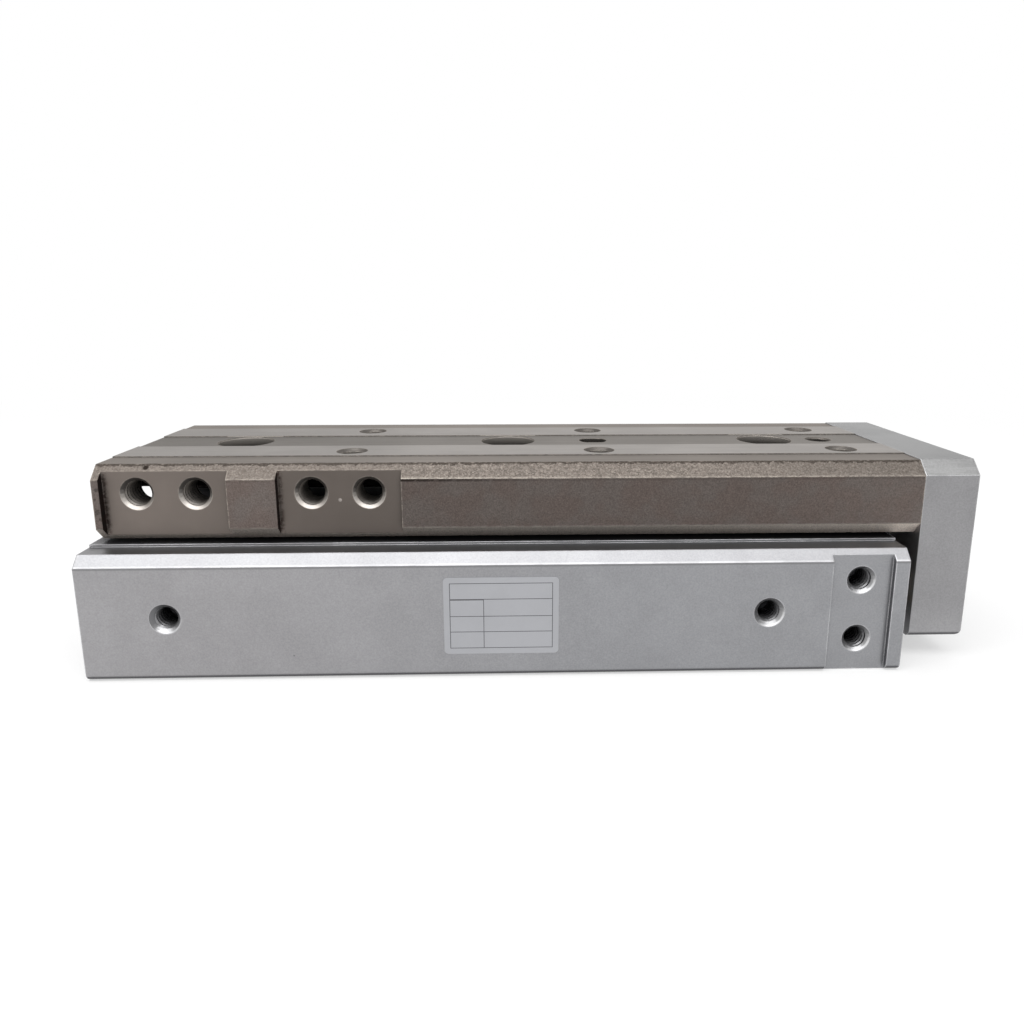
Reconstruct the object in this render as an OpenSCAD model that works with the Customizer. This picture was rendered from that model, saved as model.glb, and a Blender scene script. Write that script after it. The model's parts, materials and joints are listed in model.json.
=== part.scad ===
// Compact pneumatic slide table.
// Two pistons in a twin-cylinder body push an end plate, and the end plate carries a steel table
// that runs on a recirculating ball guide.
// Millimetres. +X is the way the table extends, +Z is up, and the origin is the centre of the
// body's mounting face. The near side, which holds the air ports, faces -Y.

/* [Travel] */
// Stroke of the table
stroke = 75; // [70:1:90]
// Gap left at each hard stop and under each float
stop_gap = 0.2; // [0.1:0.05:0.3]
// Radial gap of the pieces that slide on each other
running_gap = 0.05; // [0.02:0.01:0.08]
// Radial gap of the pieces that are seated in each other
seat_gap = 0.02; // [0.01:0.01:0.04]

/* [Body] */
// Length of the body beyond the stroke
body_extra_l = 79; // [77:0.5:90]
// Width of the body
body_w = 62; // [60:0.5:70]
// Height of the body's top face
body_h = 24.7; // [24:0.1:27]
// Chamfer along both top edges
body_chamfer = 2; // [1:0.1:2.4]
// Width of the lowered ledge beside each chamfer
ledge_w = 4.4; // [3:0.1:5]
// Depth of the ledge
ledge_d = 0.5; // [0.2:0.05:1]
// Radius of the bottom edges
body_edge_r = 1.5; // [0.5:0.1:2]

/* [Cylinders] */
// Bore of each cylinder
bore_d = 16; // [15:0.1:16.4]
// Distance between the two bores
bore_pitch = 28; // [27:0.1:29]
// Height of the bores
bore_z = 12.3; // [11.8:0.1:13]
// Diameter of the piston rods
rod_d = 6; // [5.4:0.1:6.6]
// Length of each piston
piston_l = 20; // [19:0.5:24]
// Thickness of the cushion ring on each rod
cushion_l = 4; // [3:0.1:5]
// Outer diameter of the nose that guides the rod past the front port
nose_d = 11.5; // [10:0.1:12.5]
// Thickness of the retaining rings
circlip_t = 1; // [0.8:0.1:1.2]
// Distance from the body's ends to the retaining rings
circlip_inset = 1.2; // [1:0.1:1.6]
// Section of the static sealing rings
oring_d = 1.5; // [1.2:0.1:1.8]

/* [Air ports] */
// Distance from the body's rear end to the rear port
port_rear_x = 15.6; // [14:0.1:18]
// Distance from the body's front end to the front port
port_front_x = 26.1; // [25:0.1:28]
// Tapping size of the ports
port_d = 4.2; // [4:0.1:4.4]
// Mouth of the ports
port_mouth_d = 5.8; // [5.2:0.1:6.2]
// Depth of the ports' threads
port_depth = 6.5; // [5:0.1:7]
// Bore of the passage that feeds both cylinders from one port
passage_d = 2.6; // [2:0.1:3]

/* [Body mounting] */
// Distance from the rear end to the first through hole
through_rear_x = 22.2; // [20:0.1:24]
// Distance from the front end to the last through hole
through_front_x = 18.8; // [18:0.1:20]
// Bore of the through holes
through_d = 6.6; // [5.5:0.1:7]
// Bore of the seats for the screw heads
head_seat_d = 11; // [10.5:0.1:11.4]
// Depth of the seats for the screw heads
head_seat_depth = 8; // [6.6:0.1:8.2]
// Tapping size of the mounting threads
mount_tap_d = 5; // [4.2:0.1:5.2]
// Mouth of the mounting threads
mount_mouth_d = 6.3; // [5.6:0.1:6.5]
// Depth of the tapped holes in the bottom
base_tap_depth = 8; // [6:0.1:8.4]
// Lengthways pitch of the tapped holes in the bottom
base_pitch_x = 100; // [90:0.5:106]
// Crossways pitch of the tapped holes in the bottom
base_pitch_y = 50; // [49:0.1:51]
// Bore of the locating holes
locate_d = 5; // [4:0.1:5.2]
// Length of the locating slots
locate_slot_l = 6; // [5.6:0.1:6.4]
// Depth of the locating holes in the bottom
locate_depth = 5; // [3:0.1:6]
// Distance between the two locating holes in the bottom
base_locate_pitch = 56; // [50:0.5:60]

/* [Adjuster seats] */
// Length of the seat milled in the body's near side
seat_l = 11.8; // [10:0.1:13]
// Depth of that seat
seat_d = 1.05; // [0.6:0.05:1.4]
// Wall left between that seat and the front end
seat_lip = 2.7; // [2:0.1:4]
// Tapping size of its two holes
seat_tap_d = 4.2; // [4:0.1:4.4]
// Mouth of those holes, and of the end plate's
seat_mouth_d = 5.5; // [5.2:0.1:6]
// Pitch of its two holes
seat_pitch = 11.8; // [11:0.1:12.4]
// Depth of its two holes
seat_tap_depth = 6.5; // [5:0.1:7]

/* [Switch grooves] */
// Width of the grooves' round bottoms
switch_d = 4.2; // [4:0.1:4.4]
// Width of the grooves' mouths
switch_mouth = 3.2; // [3:0.1:3.6]
// Depth of the centre of the grooves' round bottoms
switch_depth = 2.5; // [2.2:0.1:2.8]
// Height of the lower groove
switch_z = 11.5; // [11:0.1:12]
// Distance between the two grooves
switch_pitch = 7; // [6:0.1:7.4]

/* [Rating plate] */
// Length of the plate
label_l = 21.4; // [15:0.1:26]
// Height of the plate
label_h = 15.1; // [8:0.1:16]
// Thickness of the plate
label_t = 0.1; // [0.05:0.01:0.2]
// Radius of the plate's corners
label_r = 0.8; // [0.4:0.1:2]
// Distance from the body's rear end to the plate's middle
label_x = 77.4; // [60:0.1:90]
// Height of the plate's middle
label_z = 12.3; // [11:0.1:13]

/* [Table] */
// Width of the table
table_w = 50.6; // [50:0.1:52]
// Height of the table
table_h = 14.6; // [14:0.1:17]
// Gap between the body and the table
table_gap = 0.7; // [0.5:0.05:1]
// Distance of the table's rear end from the body's
table_inset = 2; // [1:0.1:4]
// Width of the channel under the table
channel_w = 33.6; // [33:0.1:34.4]
// Depth of the channel
channel_h = 8.6; // [8.2:0.1:8.8]
// Chamfer along the table's top edges
table_chamfer = 2.6; // [1.5:0.1:3]
// Chamfer along the table's bottom edges
foot_chamfer = 2.4; // [1:0.1:3]
// Width of the strip between the chamfer and the raised land
strip_w = 6.2; // [4.5:0.1:6.5]
// Depth of that strip below the land
strip_d = 0.2; // [0.1:0.05:0.5]
// Width of the groove between the lands
groove_w = 12; // [11.8:0.1:13]
// Depth of the groove
groove_d = 0.2; // [0.1:0.05:0.5]
// Bore of the access holes over the body's through holes
access_d = 11.4; // [11.4:0.1:11.8]
// Widening at the mouths of the access holes
access_lead = 0.3; // [0.2:0.1:1]
// Distance from the table's front end to the first tapped row
table_tap_x = 11; // [10.5:0.1:13]
// Lengthways pitch of the tapped rows
table_pitch_x = 50; // [40:0.5:52]
// Crossways pitch of the tapped rows
table_pitch_y = 24; // [23:0.1:25]

/* [Table side pads] */
// Distance from the table's rear end to the middle of the first pad
pad_x = 12.9; // [12.8:0.1:14]
// Distance between the two pads
pad_pitch = 32.3; // [30:0.1:34]
// Length of each pad
pad_l = 23.2; // [20:0.1:24]
// Depth of the pads
pad_d = 1.45; // [0.8:0.05:1.8]
// Pitch of the two tapped holes in a pad
pad_tap_pitch = 10.8; // [9:0.1:12]
// Height of those holes above the table's bottom
pad_tap_z = 8.9; // [8:0.1:9.2]

/* [End plate] */
// Gap between the body's front end and the end plate
plate_gap = 4.3; // [3.5:0.1:6]
// Thickness of the end plate
plate_t = 10.5; // [10:0.1:14]
// Height of the end plate's lower edge
plate_z = 4.2; // [3:0.1:4.8]
// Radius of the end plate's lower edges
plate_edge_r = 1.5; // [0.5:0.1:2]
// Chamfer along the end plate's top edges
plate_chamfer = 2.7; // [1.5:0.1:3]
// Crossways pitch of the front mounting holes
face_pitch_y = 24; // [20:0.5:26]
// Vertical pitch of the front mounting holes
face_pitch_z = 10; // [8:0.1:11]
// Height of the lower front mounting holes
face_z = 21.6; // [20.4:0.1:22]
// Tapping size of the front mounting holes
face_tap_d = 4.2; // [4:0.1:4.6]
// Crossways pitch of the screws that hold the plate to the table
plate_screw_pitch = 40.4; // [40:0.1:41]
// Distance of those screws below the table's top
plate_screw_drop = 6.6; // [6:0.1:7]
// Length of those screws
plate_screw_l = 16; // [12:1:20]
// Diameter of the end bumper
bumper_d = 8; // [6:0.1:9]
// Depth of the end bumper in the plate
bumper_seat = 5; // [3:0.1:6]

/* [Rod float] */
// Diameter of the floating bushings' flanges
float_flange_d = 10; // [9.4:0.1:11]
// Depth of the seat for the flange
float_flange_seat = 1.6; // [1.2:0.1:2]
// Diameter of the floating bushings' spigots
float_spigot_d = 6.8; // [6:0.1:7]
// Thickness of the plate between the two seats
float_web = 3.2; // [2.8:0.1:3.8]
// Play of the spigots in the plate
float_play = 0.3; // [0.2:0.05:0.4]
// Thickness of the washers
washer_t = 1; // [0.8:0.1:1.2]

/* [Ball guide] */
// Diameter of the balls
ball_d = 4; // [3.6:0.05:4.1]
// Radial gap round the balls in their raceways
ball_gap = 0.06; // [0.03:0.01:0.09]
// Height of the ball rows above the body's top
ball_z = 4.6; // [4.4:0.05:4.8]
// Gap from ball to ball
ball_spacing = 0.1; // [0.05:0.05:0.3]
// Distance between a loaded row and its return row
return_pitch = 5.6; // [5.2:0.1:5.8]
// Length of the guide between its two scrapers' outer faces
guide_l = 65; // [60:0.5:66]
// Distance of the guide's front face from the body's front end
guide_inset = 3; // [2.5:0.1:4]
// Gap between the guide block and the channel
guide_gap = 0.6; // [0.5:0.05:0.8]
// Bore of the guide block's hole under the front access hole
block_hole_d = 11.5; // [11.4:0.1:11.8]
// Thickness of the guide's end covers
cover_t = 6.4; // [6:0.1:7.4]
// Thickness of the scrapers
scraper_t = 1; // [0.8:0.1:1.4]
// Distance between the guide block's own screws
guide_screw_pitch = 12; // [10:0.1:13]
// Thread length of the guide block's screws in the body
guide_screw_depth = 8; // [6:0.1:9]

/* [Hidden] */
$fn = 64;
OVER = 1;
M3 = 3;
M4 = 4;
// Widening at the mouths of screw and pin holes
hole_lead = 0.6;
NEAR = -1;
FAR = 1;

// Body and travel
body_l = stroke + body_extra_l;
rear_x = -body_l / 2;
front_x = body_l / 2;
near_y = -body_w / 2;
port_xs = [rear_x + port_rear_x, front_x - port_front_x];
through_xs = [
    rear_x + through_rear_x,
    (rear_x + through_rear_x + front_x - through_front_x) / 2,
    front_x - through_front_x
];
seat_x = front_x - seat_lip - seat_l;

// Along one cylinder, from the rear cap to the rod's nose
port_edge = port_d / 2 + stop_gap;
cylinder_r = bore_d / 2;
circlip_r = cylinder_r + 0.5;
cap_x0 = rear_x + circlip_inset + circlip_t;
cap_x1 = port_xs[0] - port_edge;
piston_x0 = port_xs[0] + port_edge;
piston_x1 = piston_x0 + piston_l;
cushion_x1 = piston_x1 + cushion_l;
nose_x = cushion_x1 + stroke + stop_gap;
gland_x = port_xs[1] + port_edge;
gland_x1 = front_x - circlip_inset - circlip_t;
rod_seat = 3;

// Table and end plate
table_z = body_h + table_gap;
top_z = table_z + table_h;
table_x0 = rear_x + table_inset;
plate_x0 = front_x + plate_gap;
plate_x1 = plate_x0 + plate_t;
table_l = plate_x0 - table_x0;
ceiling_z = table_z + channel_h;
ball_row_z = body_h + ball_z;
pad_xs = [table_x0 + pad_x, table_x0 + pad_x + pad_pitch];
table_tap_xs = [for (i = [0:2]) plate_x0 - table_tap_x - i * table_pitch_x];
plate_screw_z = top_z - plate_screw_drop;
float_back_x = plate_x0 + float_flange_seat;
float_front_x = float_back_x + float_web;

// Ball guide
ball_r = ball_d / 2;
race_r = ball_r + ball_gap;
return_r = ball_r + 0.15;
block_w = channel_w - 2 * guide_gap;
block_h = ceiling_z - guide_gap - body_h;
race_y = channel_w / 2 - guide_gap / 2;
return_y = race_y - return_pitch;
turn_y = (race_y + return_y) / 2;
turn_r = return_pitch / 2;
guide_x1 = front_x - guide_inset;
guide_x0 = guide_x1 - guide_l;
block_x0 = guide_x0 + scraper_t + cover_t;
block_x1 = guide_x1 - scraper_t - cover_t;
ball_pitch = ball_d + ball_spacing;
turn_ball_angle = asin(ball_pitch / 2 / turn_r);
row_clear = sqrt(pow(ball_pitch, 2) - pow(turn_r * (1 - sin(turn_ball_angle)), 2));
row_end = max(row_clear - turn_r * cos(turn_ball_angle), ball_r / 2);
balls_in_row = floor((block_x1 - block_x0 - 2 * row_end) / ball_pitch) + 1;
cover_screw_d = 2.5;
cover_screw_y = 6.3;
cover_screw_thread = 4;
cover_screw_clear = 0.3;
guide_screw_xs = [for (i = [0:2]) block_x0 + 6 + i * guide_screw_pitch];

// ---- Shared shapes ----

// Extrudes a profile drawn in Y and Z along X
module along_x(x0, length) {
    translate([x0, 0, 0])
        rotate([90, 0, 90])
            linear_extrude(length)
                children();
}

// Turns a profile drawn as [radius, distance along X] round the axis of one cylinder
module turned(x0, side) {
    translate([x0, side * bore_pitch / 2, bore_z])
        rotate([0, 90, 0])
            rotate_extrude()
                children();
}

// A round bar along X
module bar(d, x0, x1, y, z) {
    translate([x0, y, z])
        rotate([0, 90, 0])
            cylinder(d = d, h = x1 - x0);
}

// Cuts the corner at the origin of the first quadrant to a radius
module corner_cut(r) {
    difference() {
        translate([-OVER, -OVER])
            square(r + OVER);
        translate([r, r])
            circle(r);
    }
}

// The cutter for a tapped hole that goes down from the origin, with a chamfered mouth
module tapped(d, mouth_d, depth, blind = true) {
    mouth_h = (mouth_d - d) / 2;
    translate([0, 0, -depth])
        cylinder(d = d, h = depth + OVER);
    translate([0, 0, -mouth_h])
        cylinder(d1 = d, d2 = mouth_d, h = mouth_h);
    cylinder(d = mouth_d, h = OVER);
    if (blind)
        translate([0, 0, -depth - 0.3 * d])
            cylinder(d1 = 0, d2 = d, h = 0.3 * d);
}

// The cutter for a locating slot: a round hole with two flats
module locating_slot(depth) {
    intersection() {
        translate([0, 0, -depth])
            cylinder(d = locate_slot_l, h = depth + OVER);
        translate([-locate_slot_l, -locate_d / 2, -depth - OVER])
            cube([2 * locate_slot_l, locate_d, depth + 3 * OVER]);
    }
}

// Proportions of socket head cap screws
function head_d(d) = 1.5 * d + 1;
function head_h(d) = d;
function head_bore(d) = head_d(d) + 0.6;
function clear_hole(d) = 1.1 * d;
function socket_af(d) = 0.8 * d;

// A socket head cap screw whose head stands on the origin and whose thread goes down
module cap_screw(d, length) {
    difference() {
        union() {
            cylinder(d = head_d(d), h = head_h(d));
            translate([0, 0, -length])
                cylinder(d = d, h = length);
        }
        translate([0, 0, head_h(d) / 2])
            cylinder(d = socket_af(d) / cos(30), h = head_h(d), $fn = 6);
    }
}

// Places what points up so that it points the way the end plate faces
module facing_front(x, y, z) {
    translate([x, y, z])
        rotate([0, 90, 0])
            children();
}

// Places what points up so that it points to the near side
module facing_near(x, y, z) {
    translate([x, y, z])
        rotate([90, 0, 0])
            children();
}

module both_sides() {
    children();
    mirror([0, 1, 0])
        children();
}

// An internal retaining ring, drawn flat
module circlip_outline() {
    back_w = 2.15;
    mouth_w = 2.4;
    mouth_depth = 4;
    eye_r = 1.35;
    eye_hole_r = 0.55;
    eye_x = mouth_w / 2 + eye_r - 0.1;
    eye_y = -circlip_r + 2.1;
    difference() {
        union() {
            difference() {
                circle(circlip_r - running_gap);
                translate([0, back_w / 2 - eye_hole_r])
                    circle(circlip_r - back_w + eye_hole_r);
            }
            for (side = [-1, 1])
                translate([side * eye_x, eye_y])
                    circle(eye_r);
        }
        translate([-mouth_w / 2, -circlip_r - OVER])
            square([mouth_w, mouth_depth + OVER]);
        for (side = [-1, 1])
            translate([side * eye_x, eye_y])
                circle(eye_hole_r);
        difference() {
            circle(circlip_r + 2 * eye_r);
            circle(circlip_r - running_gap);
        }
    }
}

module circlips(x0) {
    for (side = [NEAR, FAR])
        translate([0, side * bore_pitch / 2, bore_z])
            along_x(x0 + running_gap / 2, circlip_t - running_gap)
                circlip_outline();
}

// A static sealing ring that lies in the groove of a cap or cover
module seal_ring(x, side) {
    turned(x, side)
        translate([cylinder_r - seat_gap - oring_d / 2, 0])
            circle(oring_d / 2);
}

// ---- Body ----

module body_profile() {
    half = body_w / 2;
    shoulder_z = body_h - ledge_d;
    edge_y = half - body_chamfer;
    step_y = edge_y - ledge_w;
    difference() {
        polygon([
            [-half, 0], [half, 0],
            [half, shoulder_z - body_chamfer], [edge_y, shoulder_z],
            [step_y, shoulder_z], [step_y, body_h],
            [-step_y, body_h], [-step_y, shoulder_z],
            [-edge_y, shoulder_z], [-half, shoulder_z - body_chamfer]
        ]);
        for (side = [0, 1])
            mirror([side, 0])
                translate([-half, 0])
                    corner_cut(body_edge_r);
    }
}

// The bores, with the grooves of their retaining rings
module cylinder_bores() {
    for (side = [NEAR, FAR]) {
        y = side * bore_pitch / 2;
        bar(bore_d, rear_x - OVER, front_x + OVER, y, bore_z);
        for (x = [rear_x + circlip_inset, front_x - circlip_inset - circlip_t])
            bar(2 * circlip_r, x, x + circlip_t, y, bore_z);
    }
}

module air_ports() {
    for (x = port_xs) {
        facing_near(x, near_y, bore_z)
            tapped(port_d, port_mouth_d, port_depth);
        facing_near(x, near_y + port_depth, bore_z)
            translate([0, 0, -(bore_pitch / 2 - near_y - port_depth)])
                cylinder(d = passage_d, h = bore_pitch / 2 - near_y - port_depth);
    }
}

module body_mounting_holes() {
    for (x = through_xs)
        translate([x, 0, 0]) {
            translate([0, 0, -OVER])
                cylinder(d = through_d, h = body_h + 2 * OVER);
            translate([0, 0, body_h - head_seat_depth])
                cylinder(d = head_seat_d, h = head_seat_depth + OVER);
        }
    for (x = [-base_pitch_x / 2, base_pitch_x / 2])
        for (y = [-base_pitch_y / 2, base_pitch_y / 2])
            translate([x, y, 0])
                rotate([180, 0, 0])
                    tapped(mount_tap_d, mount_mouth_d, base_tap_depth);
    translate([-base_locate_pitch / 2, 0, -OVER])
        cylinder(d = locate_d, h = locate_depth + OVER);
    translate([base_locate_pitch / 2, 0, 0])
        rotate([180, 0, 0])
            locating_slot(locate_depth);
}

// The milled seat with two tapped holes at the front end of the near side
module adjuster_seat() {
    translate([seat_x, near_y - OVER, -OVER])
        cube([seat_l, seat_d + OVER, body_h + 2 * OVER]);
    for (z = [bore_z - seat_pitch / 2, bore_z + seat_pitch / 2])
        facing_near(seat_x + seat_l / 2, near_y + seat_d, z)
            tapped(seat_tap_d, seat_mouth_d, seat_tap_depth);
}

module switch_grooves() {
    for (z = [switch_z, switch_z + switch_pitch]) {
        y = body_w / 2 - switch_depth;
        bar(switch_d, rear_x - OVER, front_x + OVER, y, z);
        translate([rear_x - OVER, y, z - switch_mouth / 2])
            cube([body_l + 2 * OVER, switch_depth + OVER, switch_mouth]);
    }
}

module body() {
    color("#a4a3a6")
        difference() {
            along_x(rear_x, body_l)
                body_profile();
            cylinder_bores();
            air_ports();
            body_mounting_holes();
            adjuster_seat();
            switch_grooves();
            for (x = guide_screw_xs)
                translate([x, 0, body_h])
                    tapped(M4 + 2 * seat_gap, M4 + hole_lead, guide_screw_depth + 0.5);
        }
}

// The plate stands on the near side, clear of the ports
module label() {
    color("#b4b6b9")
        facing_near(rear_x + label_x, near_y, label_z)
            linear_extrude(label_t)
                difference() {
                    square([label_l, label_h], center = true);
                    for (a = [0, 1], b = [0, 1])
                        mirror([a, 0])
                            mirror([0, b])
                                translate([-label_l / 2, -label_h / 2])
                                    corner_cut(label_r);
                }
}

// ---- Cylinder ends ----

// Small chamfer on turned pieces
small_edge = 0.5;

// Grooves for the static sealing rings: radius of the floor, width, and place from a piece's end
ring_groove_r = cylinder_r - seat_gap - oring_d - seat_gap;
ring_groove_w = oring_d + 0.3;
ring_groove_inset = 2;

module rear_cap(side) {
    length = cap_x1 - cap_x0;
    outer = cylinder_r - seat_gap;
    groove = length - ring_groove_inset - ring_groove_w;
    dish_r = 4.6;
    dish_d = 1.5;
    puller_d = 2.5;
    puller_depth = 4;
    difference() {
        color("#3c3d40")
            turned(cap_x0, side)
                polygon([
                    [0, dish_d], [dish_r, dish_d], [dish_r + small_edge, 0], [outer, 0],
                    [outer, groove], [ring_groove_r, groove],
                    [ring_groove_r, groove + ring_groove_w], [outer, groove + ring_groove_w],
                    [outer, length - small_edge], [outer - small_edge, length], [0, length]
                ]);
        translate([cap_x0 + dish_d, side * bore_pitch / 2, bore_z])
            rotate([0, -90, 0])
                tapped(puller_d, puller_d + small_edge, puller_depth);
    }
}

module rear_cap_near() rear_cap(NEAR);
module rear_cap_far() rear_cap(FAR);

module rear_cap_seals() {
    color("#1c1c1e")
        for (side = [NEAR, FAR])
            seal_ring(cap_x1 - ring_groove_inset - ring_groove_w / 2, side);
}

module rear_circlips() {
    color("#3a3a3c")
        circlips(rear_x + circlip_inset);
}

// Places along the rod cover, from the end of its nose
cover_l = gland_x1 - nose_x;
nose_l = gland_x - nose_x;
cover_groove = nose_l + ring_groove_inset + 1;
rod_seal_w = 3;
rod_seal_t = 1.8;
rod_seal_x = cover_l - rod_seal_w - ring_groove_inset;
rod_seal_r = rod_d / 2 + rod_seal_t;

module rod_cover(side) {
    inner = rod_d / 2 + running_gap;
    outer = cylinder_r - seat_gap;
    color("#b89a5a")
        turned(nose_x, side)
            polygon([
                [inner, 0], [nose_d / 2 - small_edge, 0],
                [nose_d / 2, small_edge], [nose_d / 2, nose_l],
                [outer, nose_l],
                [outer, cover_groove], [ring_groove_r, cover_groove],
                [ring_groove_r, cover_groove + ring_groove_w],
                [outer, cover_groove + ring_groove_w],
                [outer, cover_l], [inner + small_edge, cover_l], [inner, cover_l - small_edge],
                [inner, rod_seal_x + rod_seal_w + running_gap],
                [rod_seal_r + running_gap, rod_seal_x + rod_seal_w + running_gap],
                [rod_seal_r + running_gap, rod_seal_x - running_gap],
                [inner, rod_seal_x - running_gap]
            ]);
}

module rod_cover_near() rod_cover(NEAR);
module rod_cover_far() rod_cover(FAR);

module rod_cover_seals() {
    color("#1c1c1e")
        for (side = [NEAR, FAR])
            seal_ring(nose_x + cover_groove + ring_groove_w / 2, side);
}

// Lip seals that open to the pressure side
module rod_seals() {
    inner = rod_d / 2 + running_gap;
    middle = (inner + rod_seal_r) / 2;
    lip = 0.35;
    color("#1c1c1e")
        for (side = [NEAR, FAR])
            turned(nose_x + rod_seal_x, side)
                polygon([
                    [inner, lip], [inner + lip, 0], [middle, rod_seal_w / 2],
                    [rod_seal_r - lip, 0], [rod_seal_r, lip],
                    [rod_seal_r, rod_seal_w], [inner, rod_seal_w]
                ]);
}

module front_circlips() {
    color("#3a3a3c")
        circlips(front_x - circlip_inset - circlip_t);
}

// ---- Pistons and rods ----

piston_r = cylinder_r - running_gap;
magnet_x = 3;
magnet_w = 5;
magnet_floor_r = 4.8;
seal_x = 10.5;
seal_w = 3.4;
seal_floor_r = 5.3;
screw_seat = head_h(M3) + 0.5;

module piston(side) {
    color("#c3b184")
        difference() {
            turned(piston_x0, side)
                polygon([
                    [0, 0], [piston_r - small_edge, 0], [piston_r, small_edge],
                    [piston_r, magnet_x], [magnet_floor_r, magnet_x],
                    [magnet_floor_r, magnet_x + magnet_w], [piston_r, magnet_x + magnet_w],
                    [piston_r, seal_x], [seal_floor_r, seal_x],
                    [seal_floor_r, seal_x + seal_w], [piston_r, seal_x + seal_w],
                    [piston_r, piston_l - small_edge], [piston_r - small_edge, piston_l],
                    [0, piston_l]
                ]);
            rod_axis(side)
                translate([0, 0, piston_x0]) {
                    translate([0, 0, -OVER])
                        cylinder(d = head_bore(M3), h = screw_seat + OVER);
                    cylinder(d = clear_hole(M3), h = piston_l);
                    translate([0, 0, piston_l - rod_seat])
                        cylinder(d = rod_d + 2 * seat_gap, h = rod_seat + OVER);
                }
        }
}

// Puts Z along one cylinder, with its zero at X = 0
module rod_axis(side) {
    translate([0, side * bore_pitch / 2, bore_z])
        rotate([0, 90, 0])
            children();
}

module piston_near() piston(NEAR);
module piston_far() piston(FAR);

module magnet(side) {
    color("#55565a")
        turned(piston_x0 + magnet_x, side)
            translate([magnet_floor_r + seat_gap, running_gap])
                square([piston_r - 0.4 - magnet_floor_r, magnet_w - 2 * running_gap]);
}

module magnet_near() magnet(NEAR);
module magnet_far() magnet(FAR);

module piston_seal(side) {
    outer = cylinder_r - running_gap / 2;
    inner = seal_floor_r + seat_gap;
    width = seal_w - 2 * running_gap;
    color("#1c1c1e")
        turned(piston_x0 + seal_x + running_gap, side)
            polygon([
                [inner, 0], [piston_r - 0.3, 0], [outer, 0.35], [outer, 0.9],
                [outer - 0.6, width / 2],
                [outer, width - 0.9], [outer, width - 0.35], [piston_r - 0.3, width],
                [inner, width]
            ]);
}

module piston_seal_near() piston_seal(NEAR);
module piston_seal_far() piston_seal(FAR);

rod_x0 = piston_x1 - rod_seat;
rod_thread = 6;
piston_screw_l = rod_x0 + rod_thread - piston_x0 - screw_seat;

module piston_screws() {
    color("#77787b")
        for (side = [NEAR, FAR])
            rod_axis(side)
                translate([0, 0, piston_x0 + screw_seat])
                    rotate([180, 0, 0])
                        cap_screw(M3, piston_screw_l);
}

module rod(side) {
    difference() {
        color("#c9cacc")
            turned(0, side)
                polygon([
                    [0, rod_x0], [rod_d / 2, rod_x0],
                    [rod_d / 2, plate_x0 - 0.3], [rod_d / 2 - 0.3, plate_x0], [0, plate_x0]
                ]);
        rod_axis(side) {
            translate([0, 0, rod_x0 - OVER])
                cylinder(d = M3 + 2 * seat_gap, h = rod_thread + 1 + OVER);
            translate([0, 0, plate_x0 - rod_thread - 1])
                cylinder(d = M3 + 2 * seat_gap, h = rod_thread + 1 + OVER);
        }
    }
}

module rod_near() rod(NEAR);
module rod_far() rod(FAR);

module cushion(side) {
    inner = rod_d / 2 + seat_gap;
    outer = cylinder_r - 1.2;
    color("#d8c25a")
        turned(piston_x1, side)
            polygon([
                [inner, 0], [outer, 0], [outer, cushion_l - 1],
                [outer - 1, cushion_l], [inner + 0.5, cushion_l], [inner, cushion_l - 0.5]
            ]);
}

module cushion_near() cushion(NEAR);
module cushion_far() cushion(FAR);

// ---- Rod float in the end plate ----

spigot_end_x = float_front_x + running_gap;
float_hole_d = float_spigot_d + 2 * float_play;
washer_d = float_hole_d + 2.2;
washer_seat_d = washer_d + 2 * float_play;

module floating_bushing(side) {
    flange_t = float_flange_seat - running_gap;
    length = spigot_end_x - plate_x0;
    bore_r = M3 / 2 + seat_gap;
    color("#9c9ea1")
        turned(plate_x0, side)
            polygon([
                [bore_r, 0], [float_flange_d / 2, 0], [float_flange_d / 2, flange_t],
                [float_spigot_d / 2, flange_t], [float_spigot_d / 2, length], [bore_r, length]
            ]);
}

module floating_bushing_near() floating_bushing(NEAR);
module floating_bushing_far() floating_bushing(FAR);

module rod_washers() {
    color("#9c9ea1")
        for (side = [NEAR, FAR])
            turned(spigot_end_x, side)
                translate([M3 / 2 + seat_gap, 0])
                    square([washer_d / 2 - M3 / 2 - seat_gap, washer_t]);
}

module rod_screws() {
    color("#77787b")
        for (side = [NEAR, FAR])
            rod_axis(side)
                translate([0, 0, spigot_end_x + washer_t])
                    cap_screw(M3, spigot_end_x + washer_t - plate_x0 + rod_thread);
}

// ---- Table ----

module table_profile() {
    half = table_w / 2;
    strip_z = top_z - strip_d;
    land_y = half - table_chamfer - strip_w;
    mouth = 0.5;
    side_points = [
        [channel_w / 2, ceiling_z],
        [channel_w / 2, table_z + mouth], [channel_w / 2 + mouth, table_z],
        [half - foot_chamfer, table_z], [half, table_z + foot_chamfer],
        [half, strip_z - table_chamfer], [half - table_chamfer, strip_z],
        [land_y, strip_z], [land_y, top_z],
        [groove_w / 2, top_z], [groove_w / 2, top_z - groove_d]
    ];
    last = len(side_points) - 1;
    polygon(concat(
        side_points,
        [for (i = [last:-1:0]) [-side_points[i][0], side_points[i][1]]]
    ));
}

module table_top_holes() {
    deep = table_h - channel_h + OVER;
    floor_z = top_z - groove_d;
    for (x = through_xs)
        translate([x, 0, floor_z])
            tapped(access_d, access_d + access_lead, deep, blind = false);
    for (x = table_tap_xs)
        for (y = [-table_pitch_y / 2, table_pitch_y / 2])
            translate([x, y, top_z])
                tapped(mount_tap_d, mount_mouth_d, deep, blind = false);
    translate([table_tap_xs[0], 0, floor_z])
        tapped(locate_d, locate_d + hole_lead, deep, blind = false);
    translate([table_tap_xs[1], 0, floor_z])
        locating_slot(deep);
}

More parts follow.
